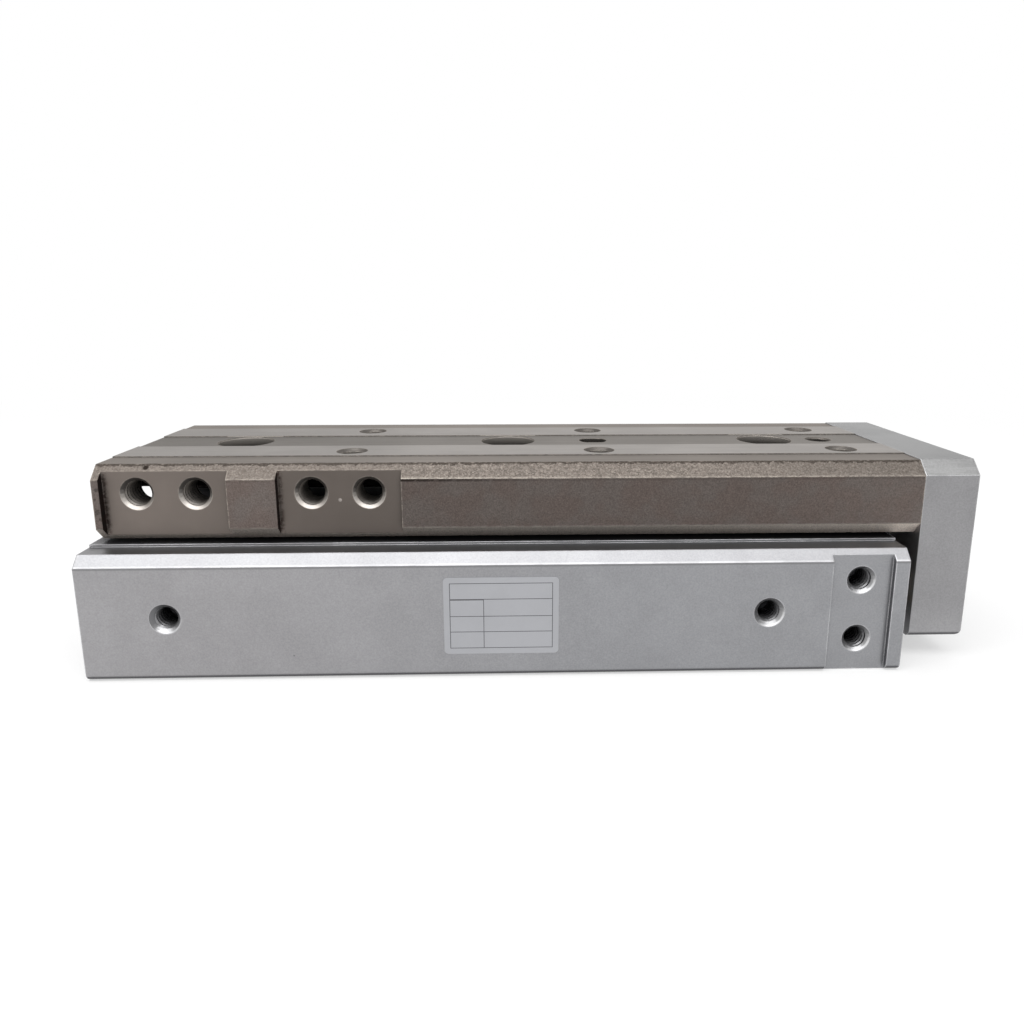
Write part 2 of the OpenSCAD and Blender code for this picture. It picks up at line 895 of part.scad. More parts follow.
// Two milled pads on the near side, each with two tapped holes into the channel
module table_pads() {
    wall = (table_w - channel_w) / 2 - pad_d;
    pad_y = -table_w / 2 + pad_d;
    for (x = pad_xs) {
        translate([x - pad_l / 2, pad_y - pad_d - OVER, table_z - OVER])
            cube([pad_l, pad_d + OVER, table_h + 2 * OVER]);
        for (side = [-1, 1])
            facing_near(x + side * pad_tap_pitch / 2, pad_y, table_z + pad_tap_z)
                tapped(mount_tap_d, mount_mouth_d, wall + 0.3, blind = false);
    }
}

module table() {
    color("#7d746f")
        difference() {
            along_x(table_x0, table_l)
                table_profile();
            for (side = [NEAR, FAR])
                bar(2 * race_r, table_x0 - OVER, plate_x0 + OVER, side * race_y, ball_row_z);
            table_top_holes();
            table_pads();
            for (side = [NEAR, FAR])
                facing_front(plate_x0, side * plate_screw_pitch / 2, plate_screw_z)
                    tapped(M4 + 2 * seat_gap, M4 + hole_lead, plate_screw_thread + 1);
        }
}

// ---- End plate ----

plate_screw_seat = head_h(M4) + 0.4;
plate_screw_thread = plate_screw_l - (plate_t - plate_screw_seat);

module plate_front_profile() {
    half = table_w / 2;
    difference() {
        polygon([
            [-half, plate_z], [half, plate_z],
            [half, top_z - plate_chamfer], [half - plate_chamfer, top_z],
            [-half + plate_chamfer, top_z], [-half, top_z - plate_chamfer]
        ]);
        for (side = [0, 1])
            mirror([side, 0])
                translate([-half, plate_z])
                    corner_cut(plate_edge_r);
    }
}

// Rounds the lower front edge, in X and Z
module plate_toe_cut() {
    rotate([90, 0, 0])
        linear_extrude(table_w + 2 * OVER, center = true)
            translate([plate_x1, plate_z])
                mirror([1, 0])
                    corner_cut(plate_edge_r);
}

module rod_float_seats() {
    for (side = [NEAR, FAR])
        rod_axis(side) {
            translate([0, 0, plate_x0 - OVER])
                cylinder(d = float_flange_d + 2 * float_play, h = float_flange_seat + OVER);
            translate([0, 0, plate_x0])
                cylinder(d = float_hole_d, h = plate_t);
            translate([0, 0, float_front_x])
                cylinder(d = washer_seat_d, h = plate_x1 - float_front_x + OVER);
        }
}

module end_plate() {
    color("#9b9a9c")
        difference() {
            along_x(plate_x0, plate_t)
                plate_front_profile();
            plate_toe_cut();
            rod_float_seats();
            bar(bumper_d + 2 * seat_gap, plate_x0 - OVER, plate_x0 + bumper_seat, 0, bore_z);
            for (side = [NEAR, FAR])
                facing_front(plate_x1, side * plate_screw_pitch / 2, plate_screw_z) {
                    translate([0, 0, -plate_t - OVER])
                        cylinder(d = clear_hole(M4), h = plate_t + 2 * OVER);
                    translate([0, 0, -plate_screw_seat])
                        cylinder(d = head_bore(M4), h = plate_screw_seat + OVER);
                }
            for (y = [-face_pitch_y / 2, face_pitch_y / 2])
                for (z = [face_z, face_z + face_pitch_z])
                    facing_front(plate_x1, y, z)
                        tapped(face_tap_d, seat_mouth_d, plate_t + OVER, blind = false);
        }
}

module plate_screws() {
    color("#77787b")
        for (side = [NEAR, FAR])
            facing_front(plate_x1 - plate_screw_seat, side * plate_screw_pitch / 2, plate_screw_z)
                cap_screw(M4, plate_screw_l);
}

// The bumper stands out of the plate and stops the table at the body's front end
module end_bumper() {
    x0 = front_x + stop_gap;
    color("#d8c25a")
        translate([x0, 0, bore_z])
            rotate([0, 90, 0])
                rotate_extrude()
                    polygon([
                        [0, 0], [bumper_d / 2 - 0.8, 0], [bumper_d / 2, 0.8],
                        [bumper_d / 2, plate_x0 + bumper_seat - x0],
                        [0, plate_x0 + bumper_seat - x0]
                    ]);
}

// ---- Ball guide ----

module block_profile(half, height) {
    edge = 0.8;
    polygon([
        [-half, body_h], [half, body_h],
        [half, body_h + height - edge], [half - edge, body_h + height],
        [-half + edge, body_h + height], [-half, body_h + height - edge]
    ]);
}

// Depth of the guide block's screw heads below its top
block_head_sink = 0.5;

module guide_block() {
    screw_seat_h = head_h(M4) + block_head_sink;
    color("#8e9093")
        difference() {
            along_x(block_x0, block_x1 - block_x0)
                block_profile(block_w / 2, block_h);
            for (side = [NEAR, FAR]) {
                bar(2 * race_r, block_x0 - OVER, block_x1 + OVER, side * race_y, ball_row_z);
                bar(2 * return_r, block_x0 - OVER, block_x1 + OVER, side * return_y, ball_row_z);
            }
            translate([through_xs[2], 0, body_h - OVER])
                cylinder(d = block_hole_d, h = block_h + 2 * OVER);
            for (x = guide_screw_xs)
                translate([x, 0, body_h]) {
                    translate([0, 0, -OVER])
                        cylinder(d = clear_hole(M4), h = block_h + 2 * OVER);
                    translate([0, 0, block_h - screw_seat_h])
                        cylinder(d = head_bore(M4), h = screw_seat_h + OVER);
                }
            for (y = [-cover_screw_y, cover_screw_y]) {
                bar(cover_screw_d + 2 * seat_gap, block_x0 - OVER,
                    block_x0 + cover_screw_thread + cover_screw_clear, y, ball_row_z);
                bar(cover_screw_d + 2 * seat_gap, block_x1 - cover_screw_thread - cover_screw_clear,
                    block_x1 + OVER, y, ball_row_z);
            }
        }
}

module guide_block_screws() {
    seat_z = body_h + block_h - head_h(M4) - block_head_sink;
    color("#77787b")
        for (x = guide_screw_xs)
            translate([x, 0, seat_z])
                cap_screw(M4, seat_z - body_h + guide_screw_depth);
}

// Both circuits: the loaded and the return rows, and two balls in each turn
module guide_balls() {
    row_x0 = (block_x0 + block_x1 - (balls_in_row - 1) * ball_pitch) / 2;
    turn_x = turn_r * cos(turn_ball_angle);
    color("#d5d7da")
        both_sides() {
            for (y = [race_y, return_y])
                for (i = [0:balls_in_row - 1])
                    translate([row_x0 + i * ball_pitch, y, ball_row_z])
                        sphere(ball_r);
            for (x = [block_x0 - turn_x, block_x1 + turn_x])
                for (part = [-1, 1])
                    translate([x, turn_y + part * turn_r * sin(turn_ball_angle), ball_row_z])
                        sphere(ball_r);
        }
}

guide_core_r = turn_r - 0.3;
guide_core_h = 2 * race_r + 0.8;

// The ball turn: a ring-shaped channel centred on the block's end face
module turn_channel() {
    rotate_extrude()
        translate([turn_r, 0])
            circle(race_r + 0.06);
}

// Draws what belongs to one end of the guide: way is -1 at the rear and 1 at the front
module guide_end(way) {
    translate([way < 0 ? block_x0 : block_x1, 0, 0])
        mirror([way < 0 ? 1 : 0, 0, 0])
            children();
}

module end_cover(way) {
    color("#2b2c2e")
        guide_end(way)
            difference() {
                along_x(0, cover_t)
                    block_profile(block_w / 2 - 0.2, block_h - 0.2);
                both_sides()
                    translate([0, turn_y, ball_row_z]) {
                        turn_channel();
                        cylinder(r = guide_core_r, h = guide_core_h, center = true);
                    }
                for (y = [-cover_screw_y, cover_screw_y])
                    bar(cover_screw_d + cover_screw_clear, -OVER, cover_t + OVER, y, ball_row_z);
            }
}

module end_cover_rear() end_cover(-1);
module end_cover_front() end_cover(1);

// The inner half-moons that turn the balls round
module return_guides(way) {
    color("#e4e2d8")
        guide_end(way)
            both_sides()
                translate([0, turn_y, ball_row_z])
                    difference() {
                        intersection() {
                            cylinder(r = guide_core_r - seat_gap, h = guide_core_h - 2 * seat_gap,
                                center = true);
                            translate([0, -return_pitch, -return_pitch])
                                cube(2 * return_pitch);
                        }
                        turn_channel();
                    }
}

module return_guides_rear() return_guides(-1);
module return_guides_front() return_guides(1);

// The scraper follows the channel and wipes the table's raceways
module scraper(way) {
    lip_gap = 0.3;
    half = channel_w / 2 - lip_gap;
    color("#4a4b4e")
        guide_end(way)
            difference() {
                along_x(cover_t, scraper_t) {
                    block_profile(half, channel_h + table_gap - lip_gap);
                    for (side = [NEAR, FAR])
                        translate([side * race_y, ball_row_z])
                            circle(race_r - lip_gap);
                }
                for (y = [-cover_screw_y, cover_screw_y])
                    bar(cover_screw_d + cover_screw_clear, 0, cover_t + scraper_t + OVER, y, ball_row_z);
            }
}

module scraper_rear() scraper(-1);
module scraper_front() scraper(1);

module cover_screws() {
    head_w = 4.6;
    head_t = 1.4;
    cross_l = 2.6;
    cross_w = 0.6;
    cross_d = 0.8;
    length = cover_t + scraper_t + cover_screw_thread;
    color("#77787b")
        for (way = [-1, 1], y = [-cover_screw_y, cover_screw_y])
            guide_end(way)
                facing_front(cover_t + scraper_t, y, ball_row_z)
                    difference() {
                        union() {
                            cylinder(d1 = head_w, d2 = head_w - cross_w, h = head_t);
                            translate([0, 0, -length])
                                cylinder(d = cover_screw_d, h = length);
                        }
                        for (turn = [0, 90])
                            rotate(turn)
                                translate([-cross_l / 2, -cross_w / 2, head_t - cross_d])
                                    cube([cross_l, cross_w, cross_d + OVER]);
                    }
}

body();
label();
rear_cap_near();
rear_cap_far();
rear_cap_seals();
rear_circlips();
rod_cover_near();
rod_cover_far();
rod_cover_seals();
rod_seals();
front_circlips();
guide_block();
guide_block_screws();
guide_balls();
end_cover_rear();
end_cover_front();
return_guides_rear();
return_guides_front();
scraper_rear();
scraper_front();
cover_screws();
table();
end_plate();
plate_screws();
end_bumper();
rod_near();
rod_far();
piston_near();
piston_far();
piston_screws();
piston_seal_near();
piston_seal_far();
magnet_near();
magnet_far();
cushion_near();
cushion_far();
floating_bushing_near();
floating_bushing_far();
rod_washers();
rod_screws();
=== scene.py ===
# Finishes, cut threads and studio for a pneumatic slide table.
# Metres. +X is the way the table extends, +Z is up and the air ports face -Y.

import json
import math
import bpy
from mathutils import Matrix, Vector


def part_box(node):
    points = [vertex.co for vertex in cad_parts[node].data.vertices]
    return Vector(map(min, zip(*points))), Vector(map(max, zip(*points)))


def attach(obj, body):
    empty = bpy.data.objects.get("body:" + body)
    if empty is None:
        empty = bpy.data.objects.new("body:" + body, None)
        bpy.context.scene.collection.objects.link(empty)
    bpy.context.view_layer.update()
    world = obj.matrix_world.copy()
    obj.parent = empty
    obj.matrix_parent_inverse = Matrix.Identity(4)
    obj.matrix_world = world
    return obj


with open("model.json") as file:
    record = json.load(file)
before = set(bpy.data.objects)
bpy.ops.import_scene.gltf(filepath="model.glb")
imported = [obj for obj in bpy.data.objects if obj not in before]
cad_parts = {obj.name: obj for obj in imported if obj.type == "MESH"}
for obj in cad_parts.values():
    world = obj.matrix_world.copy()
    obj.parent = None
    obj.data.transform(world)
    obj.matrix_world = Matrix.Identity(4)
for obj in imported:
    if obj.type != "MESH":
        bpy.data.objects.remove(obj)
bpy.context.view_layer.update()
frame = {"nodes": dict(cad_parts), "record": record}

from types import SimpleNamespace

import bmesh
import bpy
from mathutils import Matrix, Vector

record = frame["record"]
mounts = {mount["name"]: mount for mount in record["mounts"]}
MM = 0.001

body_low, body_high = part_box("body")
table_low, table_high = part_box("table")
plate_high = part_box("end_plate")[1]
label_low, label_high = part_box("label")

# Sizes of the CAD pieces that the finishes follow
LEDGE_DROP = 0.5 * MM  # from the body's top down to the ledges beside it
BODY_BEVEL = 2.0 * MM
SEAT_DEPTH = 1.05 * MM  # the adjusters' seat in the body's near side
PLATE_BEVEL_FOOT = 2.6 * MM  # from the end plate's top down to its bevel's foot, where edge wear and a painted highlight lie
TABLE_BEVEL = 2.6 * MM
TABLE_FOOT_BEVEL = 2.4 * MM
STRIP_W = 6.2 * MM  # the strips between the table's bevels and its lands
STRIP_DROP = 0.2 * MM
GROOVE_HALF = 6.0 * MM  # half of the groove between the lands
PAD_START = 1.3 * MM  # from the table's rear end to the first pad
PAD_PITCH = 32.3 * MM
PAD_DEPTH = 1.45 * MM
ACCESS_R = 5.7 * MM  # the access holes through the table
LAND_Y = table_high.y - TABLE_BEVEL - STRIP_W  # the lands' outer edges

# Wear at a place of its own
KNOCK = Vector((-65.6, -23.3, 39.2)) * MM  # a nick in the bevel over the first pad
BRIGHT_DOT = Vector((-29.9, -23.85, 32.9)) * MM  # a bare dot between the second pad's holes


def add(name, data):
    """Puts a new object into the scene."""
    made = bpy.data.objects.new(name, data)
    bpy.context.scene.collection.objects.link(made)
    return made


def hole_places(mount):
    """Centres of a mount's holes."""
    places = [Vector(mount["pos_m"])]
    across = [i for i in range(3) if abs(mount["axis"][i]) < 0.5]
    for name, i in zip(("spacing_x_mm", "spacing_y_mm"), across):
        half = mount["dims"].get(name, 0) * MM / 2
        if half:
            step = Vector([half if k == i else 0 for k in range(3)])
            places = [place + way * step for place in places for way in (-1, 1)]
    return places


# ---- Camera ----

def set_camera():
    """Stands in front of the air ports, a little above the table, and looks down at the part."""
    place = Vector((2.37, -164.02, 69.49)) * MM
    yaw, pitch, roll = -0.03274, 0.2121, -0.00162
    level = Vector((-math.sin(yaw), math.cos(yaw), 0))
    sideways = Vector((math.cos(yaw), math.sin(yaw), 0))
    ahead = level * math.cos(pitch) - Vector((0, 0, math.sin(pitch)))
    above = level * math.sin(pitch) + Vector((0, 0, math.cos(pitch)))
    right = sideways * math.cos(roll) - above * math.sin(roll)
    top = sideways * math.sin(roll) + above * math.cos(roll)
    lens = bpy.data.cameras.new("camera")
    lens.lens = 26.767
    lens.sensor_width = 36
    lens.shift_x = -0.02298
    lens.shift_y = -0.04518
    lens.clip_start = 0.01
    holder = add("camera", lens)
    turned = Matrix((right, top, -ahead)).transposed()
    holder.matrix_world = Matrix.Translation(place) @ turned.to_4x4()
    bpy.context.scene.camera = holder


set_camera()


# ---- Shader nodes ----

def plug(tree, value, socket):
    """Joins an output to a socket, or sets the socket to a plain value."""
    if isinstance(value, bpy.types.NodeSocket):
        tree.links.new(value, socket)
    elif isinstance(value, tuple) and len(value) == 3 and socket.type == "RGBA":
        socket.default_value = (*value, 1)
    else:
        socket.default_value = value


def node(tree, kind, values=None, **settings):
    made = tree.nodes.new("ShaderNode" + kind)
    for name, value in settings.items():
        setattr(made, name, value)
    for name, value in (values or {}).items():
        plug(tree, value, made.inputs[name])
    return made


def maths(tree, operation, a, b=0.0, c=0.0, clamp=False):
    return node(tree, "Math", {0: a, 1: b, 2: c}, operation=operation, use_clamp=clamp).outputs[0]


def plus(tree, a, b):
    return maths(tree, "ADD", a, b)


def less(tree, a, b):
    return maths(tree, "SUBTRACT", a, b)


def size_of(tree, value):
    return maths(tree, "ABSOLUTE", value)


def over(tree, value, limit):
    return maths(tree, "GREATER_THAN", value, limit)


def under(tree, value, limit):
    return maths(tree, "LESS_THAN", value, limit)


def near(tree, value, centre, reach):
    """1 where a value is within reach of centre."""
    return maths(tree, "COMPARE", value, centre, reach)


def times(tree, *masks):
    total = masks[0]
    for mask in masks[1:]:
        total = maths(tree, "MULTIPLY", total, mask)
    return total


def either(tree, *masks):
    """The highest of several masks."""
    total = masks[0]
    for mask in masks[1:]:
        total = maths(tree, "MAXIMUM", total, mask)
    return total


def opposite(tree, mask):
    return maths(tree, "SUBTRACT", 1.0, mask, clamp=True)


def ramp(tree, value, low, high, to_low=0.0, to_high=1.0):
    """Turns low..high into to_low..to_high, smoothly and no further."""
    return node(tree, "MapRange", {"Value": value, 1: low, 2: high, 3: to_low, 4: to_high},
                interpolation_type="SMOOTHSTEP").outputs[0]


def blend(tree, factor, a, b, how="MIX"):
    made = node(tree, "Mix", data_type="RGBA", blend_type=how)
    for value, place in ((factor, 0), (a, 6), (b, 7)):
        plug(tree, value, made.inputs[place])
    return made.outputs[2]


def tint(tree, colour, tone):
    return blend(tree, 1.0, colour, tone, "MULTIPLY")


def lay(tree, colour, *layers):
    """Lays colours over one another. Each layer is a mask and its colour."""
    for mask, top in layers:
        colour = blend(tree, mask, colour, top)
    return colour


def noise(tree, where, size, detail=3.0, rough=0.55):
    """Noise whose grains are about size metres across."""
    scale = maths(tree, "DIVIDE", 1.0, size) if isinstance(size, bpy.types.NodeSocket) else 1 / size
    return node(tree, "TexNoise", {"Vector": where, "Scale": scale, "Detail": detail,
                                   "Roughness": rough}).outputs[0]


def part_place(tree):
    return node(tree, "TexCoord").outputs["Object"]


def split(tree, vector):
    """The x, y and z of a place or a direction."""
    return node(tree, "SeparateXYZ", {0: vector}).outputs


def true_facing(tree):
    """The x, y and z of the way that the surface itself faces."""
    return split(tree, node(tree, "NewGeometry").outputs["True Normal"])


def first_colour(tree, colour):
    return node(tree, "SeparateColor", {0: colour}).outputs[0]


def group(name, inputs, outputs, fill):
    """Makes a node group. fill gets its tree and inputs, and returns its outputs by name."""
    tree = bpy.data.node_groups.new(name, "ShaderNodeTree")
    for label, kind, start in inputs:
        socket = tree.interface.new_socket(label, in_out="INPUT", socket_type="NodeSocket" + kind)
        socket.default_value = start
    for label, kind in outputs:
        tree.interface.new_socket(label, in_out="OUTPUT", socket_type="NodeSocket" + kind)
    way_in, way_out = tree.nodes.new("NodeGroupInput"), tree.nodes.new("NodeGroupOutput")
    for label, value in fill(tree, way_in.outputs).items():
        tree.links.new(value, way_out.inputs[label])
    return tree


def use(tree, effect, **values):
    """Places a group in a material. Underscores in names stand for spaces."""
    made = tree.nodes.new("ShaderNodeGroup")
    made.node_tree = effect
    for name, value in values.items():
        plug(tree, value, made.inputs[name.replace("_", " ")])
    return made.outputs


# ---- Effects that several finishes share ----

def fill_blasted_grain(tree, given):
    where = part_place(tree)
    fine = noise(tree, where, given["Size"], 2.0, 0.6)
    coarse = noise(tree, where, times(tree, given["Size"], 9.0), 3.0)
    height = plus(tree, fine, times(tree, coarse, 0.35))
    shade = plus(tree, times(tree, less(tree, fine, 0.5), given["Contrast"]), 1.0)
    return {"Height": height, "Shade": shade}


blasted_grain = group("blasted grain", [("Size", "Float", 0.0002), ("Contrast", "Float", 0.2)],
                      [("Height", "Float"), ("Shade", "Float")], fill_blasted_grain)


def fill_soft_edges(tree, given):
    rounded = node(tree, "Bevel", {"Radius": given["Radius"]}, samples=6).outputs[0]
    true = node(tree, "NewGeometry").outputs["True Normal"]
    match = node(tree, "VectorMath", {0: rounded, 1: true}, operation="DOT_PRODUCT")
    edge = ramp(tree, match.outputs["Value"], 0.995, 0.935)
    return {"Normal": rounded, "Edge": edge}


soft_edges = group("soft edges", [("Radius", "Float", 0.0002)],
                   [("Normal", "Vector"), ("Edge", "Float")], fill_soft_edges)


def fill_drawn_lines(tree, given):
    where = node(tree, "VectorMath", {0: part_place(tree), 1: given["Fineness"]},
                 operation="MULTIPLY").outputs[0]
    broad = noise(tree, where, 1.0, 4.0, 0.7)
    return {"Lines": ramp(tree, broad, 0.3, 0.7)}


drawn_lines = group("drawn lines", [("Fineness", "Vector", (40, 4000, 4000))],
                    [("Lines", "Float")], fill_drawn_lines)


def fill_specks(tree, given):
    where = part_place(tree)
    scale = maths(tree, "DIVIDE", 1.0, given["Spacing"])
    dots = node(tree, "TexVoronoi", {"Vector": where, "Scale": scale}, feature="F1")
    kept = under(tree, first_colour(tree, dots.outputs["Color"]), given["Share"])
    spot = ramp(tree, dots.outputs["Distance"], 0.07, 0.02)
    return {"Specks": times(tree, kept, spot)}


specks = group("specks", [("Spacing", "Float", 0.002), ("Share", "Float", 0.05)],
               [("Specks", "Float")], fill_specks)


def fill_handling(tree, given):
    where = part_place(tree)
    broad = noise(tree, where, given["Size"], 4.0, 0.6)
    return {"Smudge": ramp(tree, broad, 0.35, 0.68)}


handling = group("handling", [("Size", "Float", 0.03)], [("Smudge", "Float")], fill_handling)


def fill_hollow_shading(tree, given):
    # Ambient occlusion within the piece alone, which drives painted shade in its recesses.
    sky = node(tree, "AmbientOcclusion", {"Distance": given["Reach"]}, samples=6, only_local=True)
    return {"Hollow": ramp(tree, sky.outputs["AO"], 0.78, 0.22)}


hollow_shading = group("hollow_shading", [("Reach", "Float", 0.006)], [("Hollow", "Float")], fill_hollow_shading)


def fill_open_sky(tree, given):
    """The sky that a surface sees, which drives painted shade. Unlike the local occlusion group,
    this counts the other pieces too.
    """
    sky = node(tree, "AmbientOcclusion", {"Distance": given["Reach"]}, samples=6)
    return {"Sky": sky.outputs["AO"]}


open_sky = group("open sky", [("Reach", "Float", 0.01)], [("Sky", "Float")], fill_open_sky)


# ---- Finishes ----

def finish_tree(name):
    material = bpy.data.materials.new(name)
    material.use_nodes = True
    tree = material.node_tree
    tree.nodes.clear()
    shader = tree.nodes.new("ShaderNodeBsdfPrincipled")
    end = tree.nodes.new("ShaderNodeOutputMaterial")
    tree.links.new(shader.outputs[0], end.inputs[0])
    return material, tree, shader


def coat(tree, shader, colour, rough, metal, normal=None, height=None, depth=0.00002, **plain):
    """Sets a shader's sockets; height is bumped over the normal by depth metres."""
    plug(tree, colour, shader.inputs["Base Color"])
    plug(tree, rough, shader.inputs["Roughness"])
    plug(tree, metal, shader.inputs["Metallic"])
    if height is not None:
        bump = node(tree, "Bump", {"Strength": 1.0, "Distance": depth, "Height": height})
        if normal is not None:
            tree.links.new(normal, bump.inputs["Normal"])
        normal = bump.outputs[0]
    if normal is not None:
        tree.links.new(normal, shader.inputs["Normal"])
    for name, value in plain.items():
        shader.inputs[name.replace("_", " ")].default_value = value


def body_colours(tree, colour, bevel, along):
    """The body's side, its bevel and the share of edge wear with painted highlight. Both colours
    carry painted light that is stronger towards the rear, and the bevel's paler colour is partly
    painted light from above.
    """
    # Painted light: the side lightens towards the rear and the bevel dims towards the front.
    painted_rear_light = blend(tree, ramp(tree, along, 30 * MM, -60 * MM), (1.02, 1.025, 1.03),
                  (1.18, 1.155, 1.145))
    slope = tint(tree, bevel, ramp(tree, along, 60 * MM, -20 * MM, 0.875, 0.93))
    return tint(tree, colour, painted_rear_light), slope, 0.92


def plate_colours(tree, colour, bevel, along, height, up):
    """The same three for the end plate. Its bevel's foot and its front edge get wear with a painted
    highlight; its top is painted darker as shade, its side lighter towards the bottom as painted
    light, and its bevel's darker colour is partly painted shade.
    """
    lines = use(tree, drawn_lines, Fineness=(90, 1500, 1500))["Lines"]
    slope = times(tree, bevel, ramp(tree, lines, 0, 1, 0.92, 1.10))
    # Painted light: the side lightens towards the bottom, and the top is painted darker as shade.
    side = tint(tree, colour, ramp(tree, height, 14 * MM, 3 * MM, 1.0, 1.17))
    side = blend(tree, ramp(tree, up, 0.93, 0.97), side, (0.166, 0.165, 0.166))
    wear_and_highlight_lines = either(tree, near(tree, height, plate_high.z - PLATE_BEVEL_FOOT, 0.5 * MM),
                        over(tree, along, plate_high.x - 0.5 * MM))
    return side, slope, ramp(tree, wear_and_highlight_lines, 0, 1, 0.40, 0.95)


def hole_cones(tree, colour, facing, across, height):
    """Countersinks in the body's near side, with painted light: paler where they face up, darker
    where they face down, and a painted highlight on the rim.
    """
    tilt = plus(tree, facing[2], times(tree, facing[0], -0.6))
    cones = times(tree, near(tree, facing[1], -0.71, 0.12), near(tree, height, 11.5 * MM, 9 * MM),
                  under(tree, across, body_low.y + 2 * MM))
    depth = less(tree, across, body_low.y)
    in_seat = over(tree, depth, SEAT_DEPTH - 0.02 * MM)
    depth = less(tree, depth, times(tree, in_seat, SEAT_DEPTH))
    rim_highlight = times(tree, ramp(tree, depth, 0.36 * MM, 0.16 * MM), ramp(tree, tilt, 0.15, 0.70))
    cone_painted_light = blend(tree, ramp(tree, tilt, -0.25, 0.72), (0.19, 0.19, 0.195), (0.34, 0.34, 0.345))
    return blend(tree, cones, colour, blend(tree, rim_highlight, cone_painted_light, (0.72, 0.72, 0.73)))


def bevel_lines(tree, colour, facing, across, height, bevels, broken):
    """A painted highlight along the foot of the body's bevels, and a painted shadow line under the
    near one.
    """
    edge_z = body_high.z - LEDGE_DROP - BODY_BEVEL
    bevel_foot_highlight = times(tree, bevels, ramp(tree, height, edge_z + 0.34 * MM, edge_z + 0.12 * MM))
    shadow_under_bevel = times(tree, under(tree, facing[1], -0.9), under(tree, height, edge_z),
                  under(tree, across, body_low.y + 0.1 * MM),
                  ramp(tree, height, edge_z - 0.55 * MM, edge_z - 0.20 * MM))
    return lay(tree, colour, (times(tree, bevel_foot_highlight, broken, 0.85), (0.54, 0.54, 0.55)),
               (times(tree, shadow_under_bevel, 0.7), (0.19, 0.19, 0.195)))


def anodised(name, colour, bevel, bright, plate=False):
    """Matt anodised aluminium: blasted, a little marbled, with paler edges that show wear and
    painted highlight, and a few pits. It gets painted shade in recesses, on faces that turn
    downward, on the ledges and on the top where other pieces cover it.
    """
    material, tree, shader = finish_tree(name)
    where = part_place(tree)
    along, across, height = split(tree, where)
    facing = true_facing(tree)
    up = facing[2]
    bevels = times(tree, ramp(tree, up, 0.5, 0.6), ramp(tree, up, 0.85, 0.8))
    # Painted shade on faces that turn downward.
    foot = times(tree, ramp(tree, up, -0.22, -0.50), ramp(tree, up, -0.995, -0.98))
    level = over(tree, up, 0.95)
    # Painted shade on the ledges beside the top, under the table's overhang.
    ledge_shade = times(tree, level, near(tree, height, body_high.z - LEDGE_DROP, 0.1 * MM))
    roof = times(tree, level, near(tree, height, body_high.z, 0.2 * MM))

    grains = use(tree, blasted_grain, Size=0.00030, Contrast=0.40)
    edges = use(tree, soft_edges, Radius=0.00034)
    dots = use(tree, specks, Spacing=0.0032, Share=0.035)["Specks"]
    smudge = use(tree, handling, Size=0.035)["Smudge"]
    # Painted shade in recesses.
    hollow_shade = use(tree, hollow_shading, Reach=0.006)["Hollow"]
    sky = use(tree, open_sky, Reach=14 * MM)["Sky"]
    marbling = noise(tree, where, 0.007, 4.0, 0.6)
    tone = times(tree, grains["Shade"], ramp(tree, smudge, 0, 1, 0.975, 1.02),
                 ramp(tree, marbling, 0.32, 0.68, 0.965, 1.03))

    if plate:
        side, slope, edge_wear_and_highlight = plate_colours(tree, colour, bevel, along, height, up)
    else:
        side, slope, edge_wear_and_highlight = body_colours(tree, colour, bevel, along)
    # Painted shade on the top where other pieces cover it; the next layers also paint shade on
    # downward faces and the ledges.
    painted_buried_shade = times(tree, roof, ramp(tree, sky, 0.92, 0.50))
    base = lay(tree, tint(tree, blend(tree, bevels, side, slope), tone),
               (times(tree, foot, 0.85), (0.04, 0.04, 0.045)),
               (times(tree, ledge_shade, 0.42), (0.03, 0.03, 0.03)),
               (times(tree, painted_buried_shade, 0.98), (0.010, 0.010, 0.011)))
    broken = ramp(tree, marbling, 0.40, 0.58, 0.5, 1.0)
    # Paler edges: wear with a painted highlight.
    worn_and_painted_light = blend(tree, times(tree, edges["Edge"], edge_wear_and_highlight, broken), base, bright)
    if not plate:
        worn_and_painted_light = hole_cones(tree, worn_and_painted_light, facing, across, height)
        worn_and_painted_light = bevel_lines(tree, worn_and_painted_light, facing, across, height, bevels, broken)
    shaded = lay(tree, worn_and_painted_light, (times(tree, dots, 0.6), (0.09, 0.09, 0.10)),
                 (times(tree, hollow_shade, 0.96), (0.012, 0.012, 0.014)))
    rough = either(tree, ramp(tree, smudge, 0, 1, 0.34, 0.40), times(tree, painted_buried_shade, 0.85))
    coat(tree, shader, shaded, rough, 0.9, edges["Normal"], grains["Height"], 0.000022)
    return material


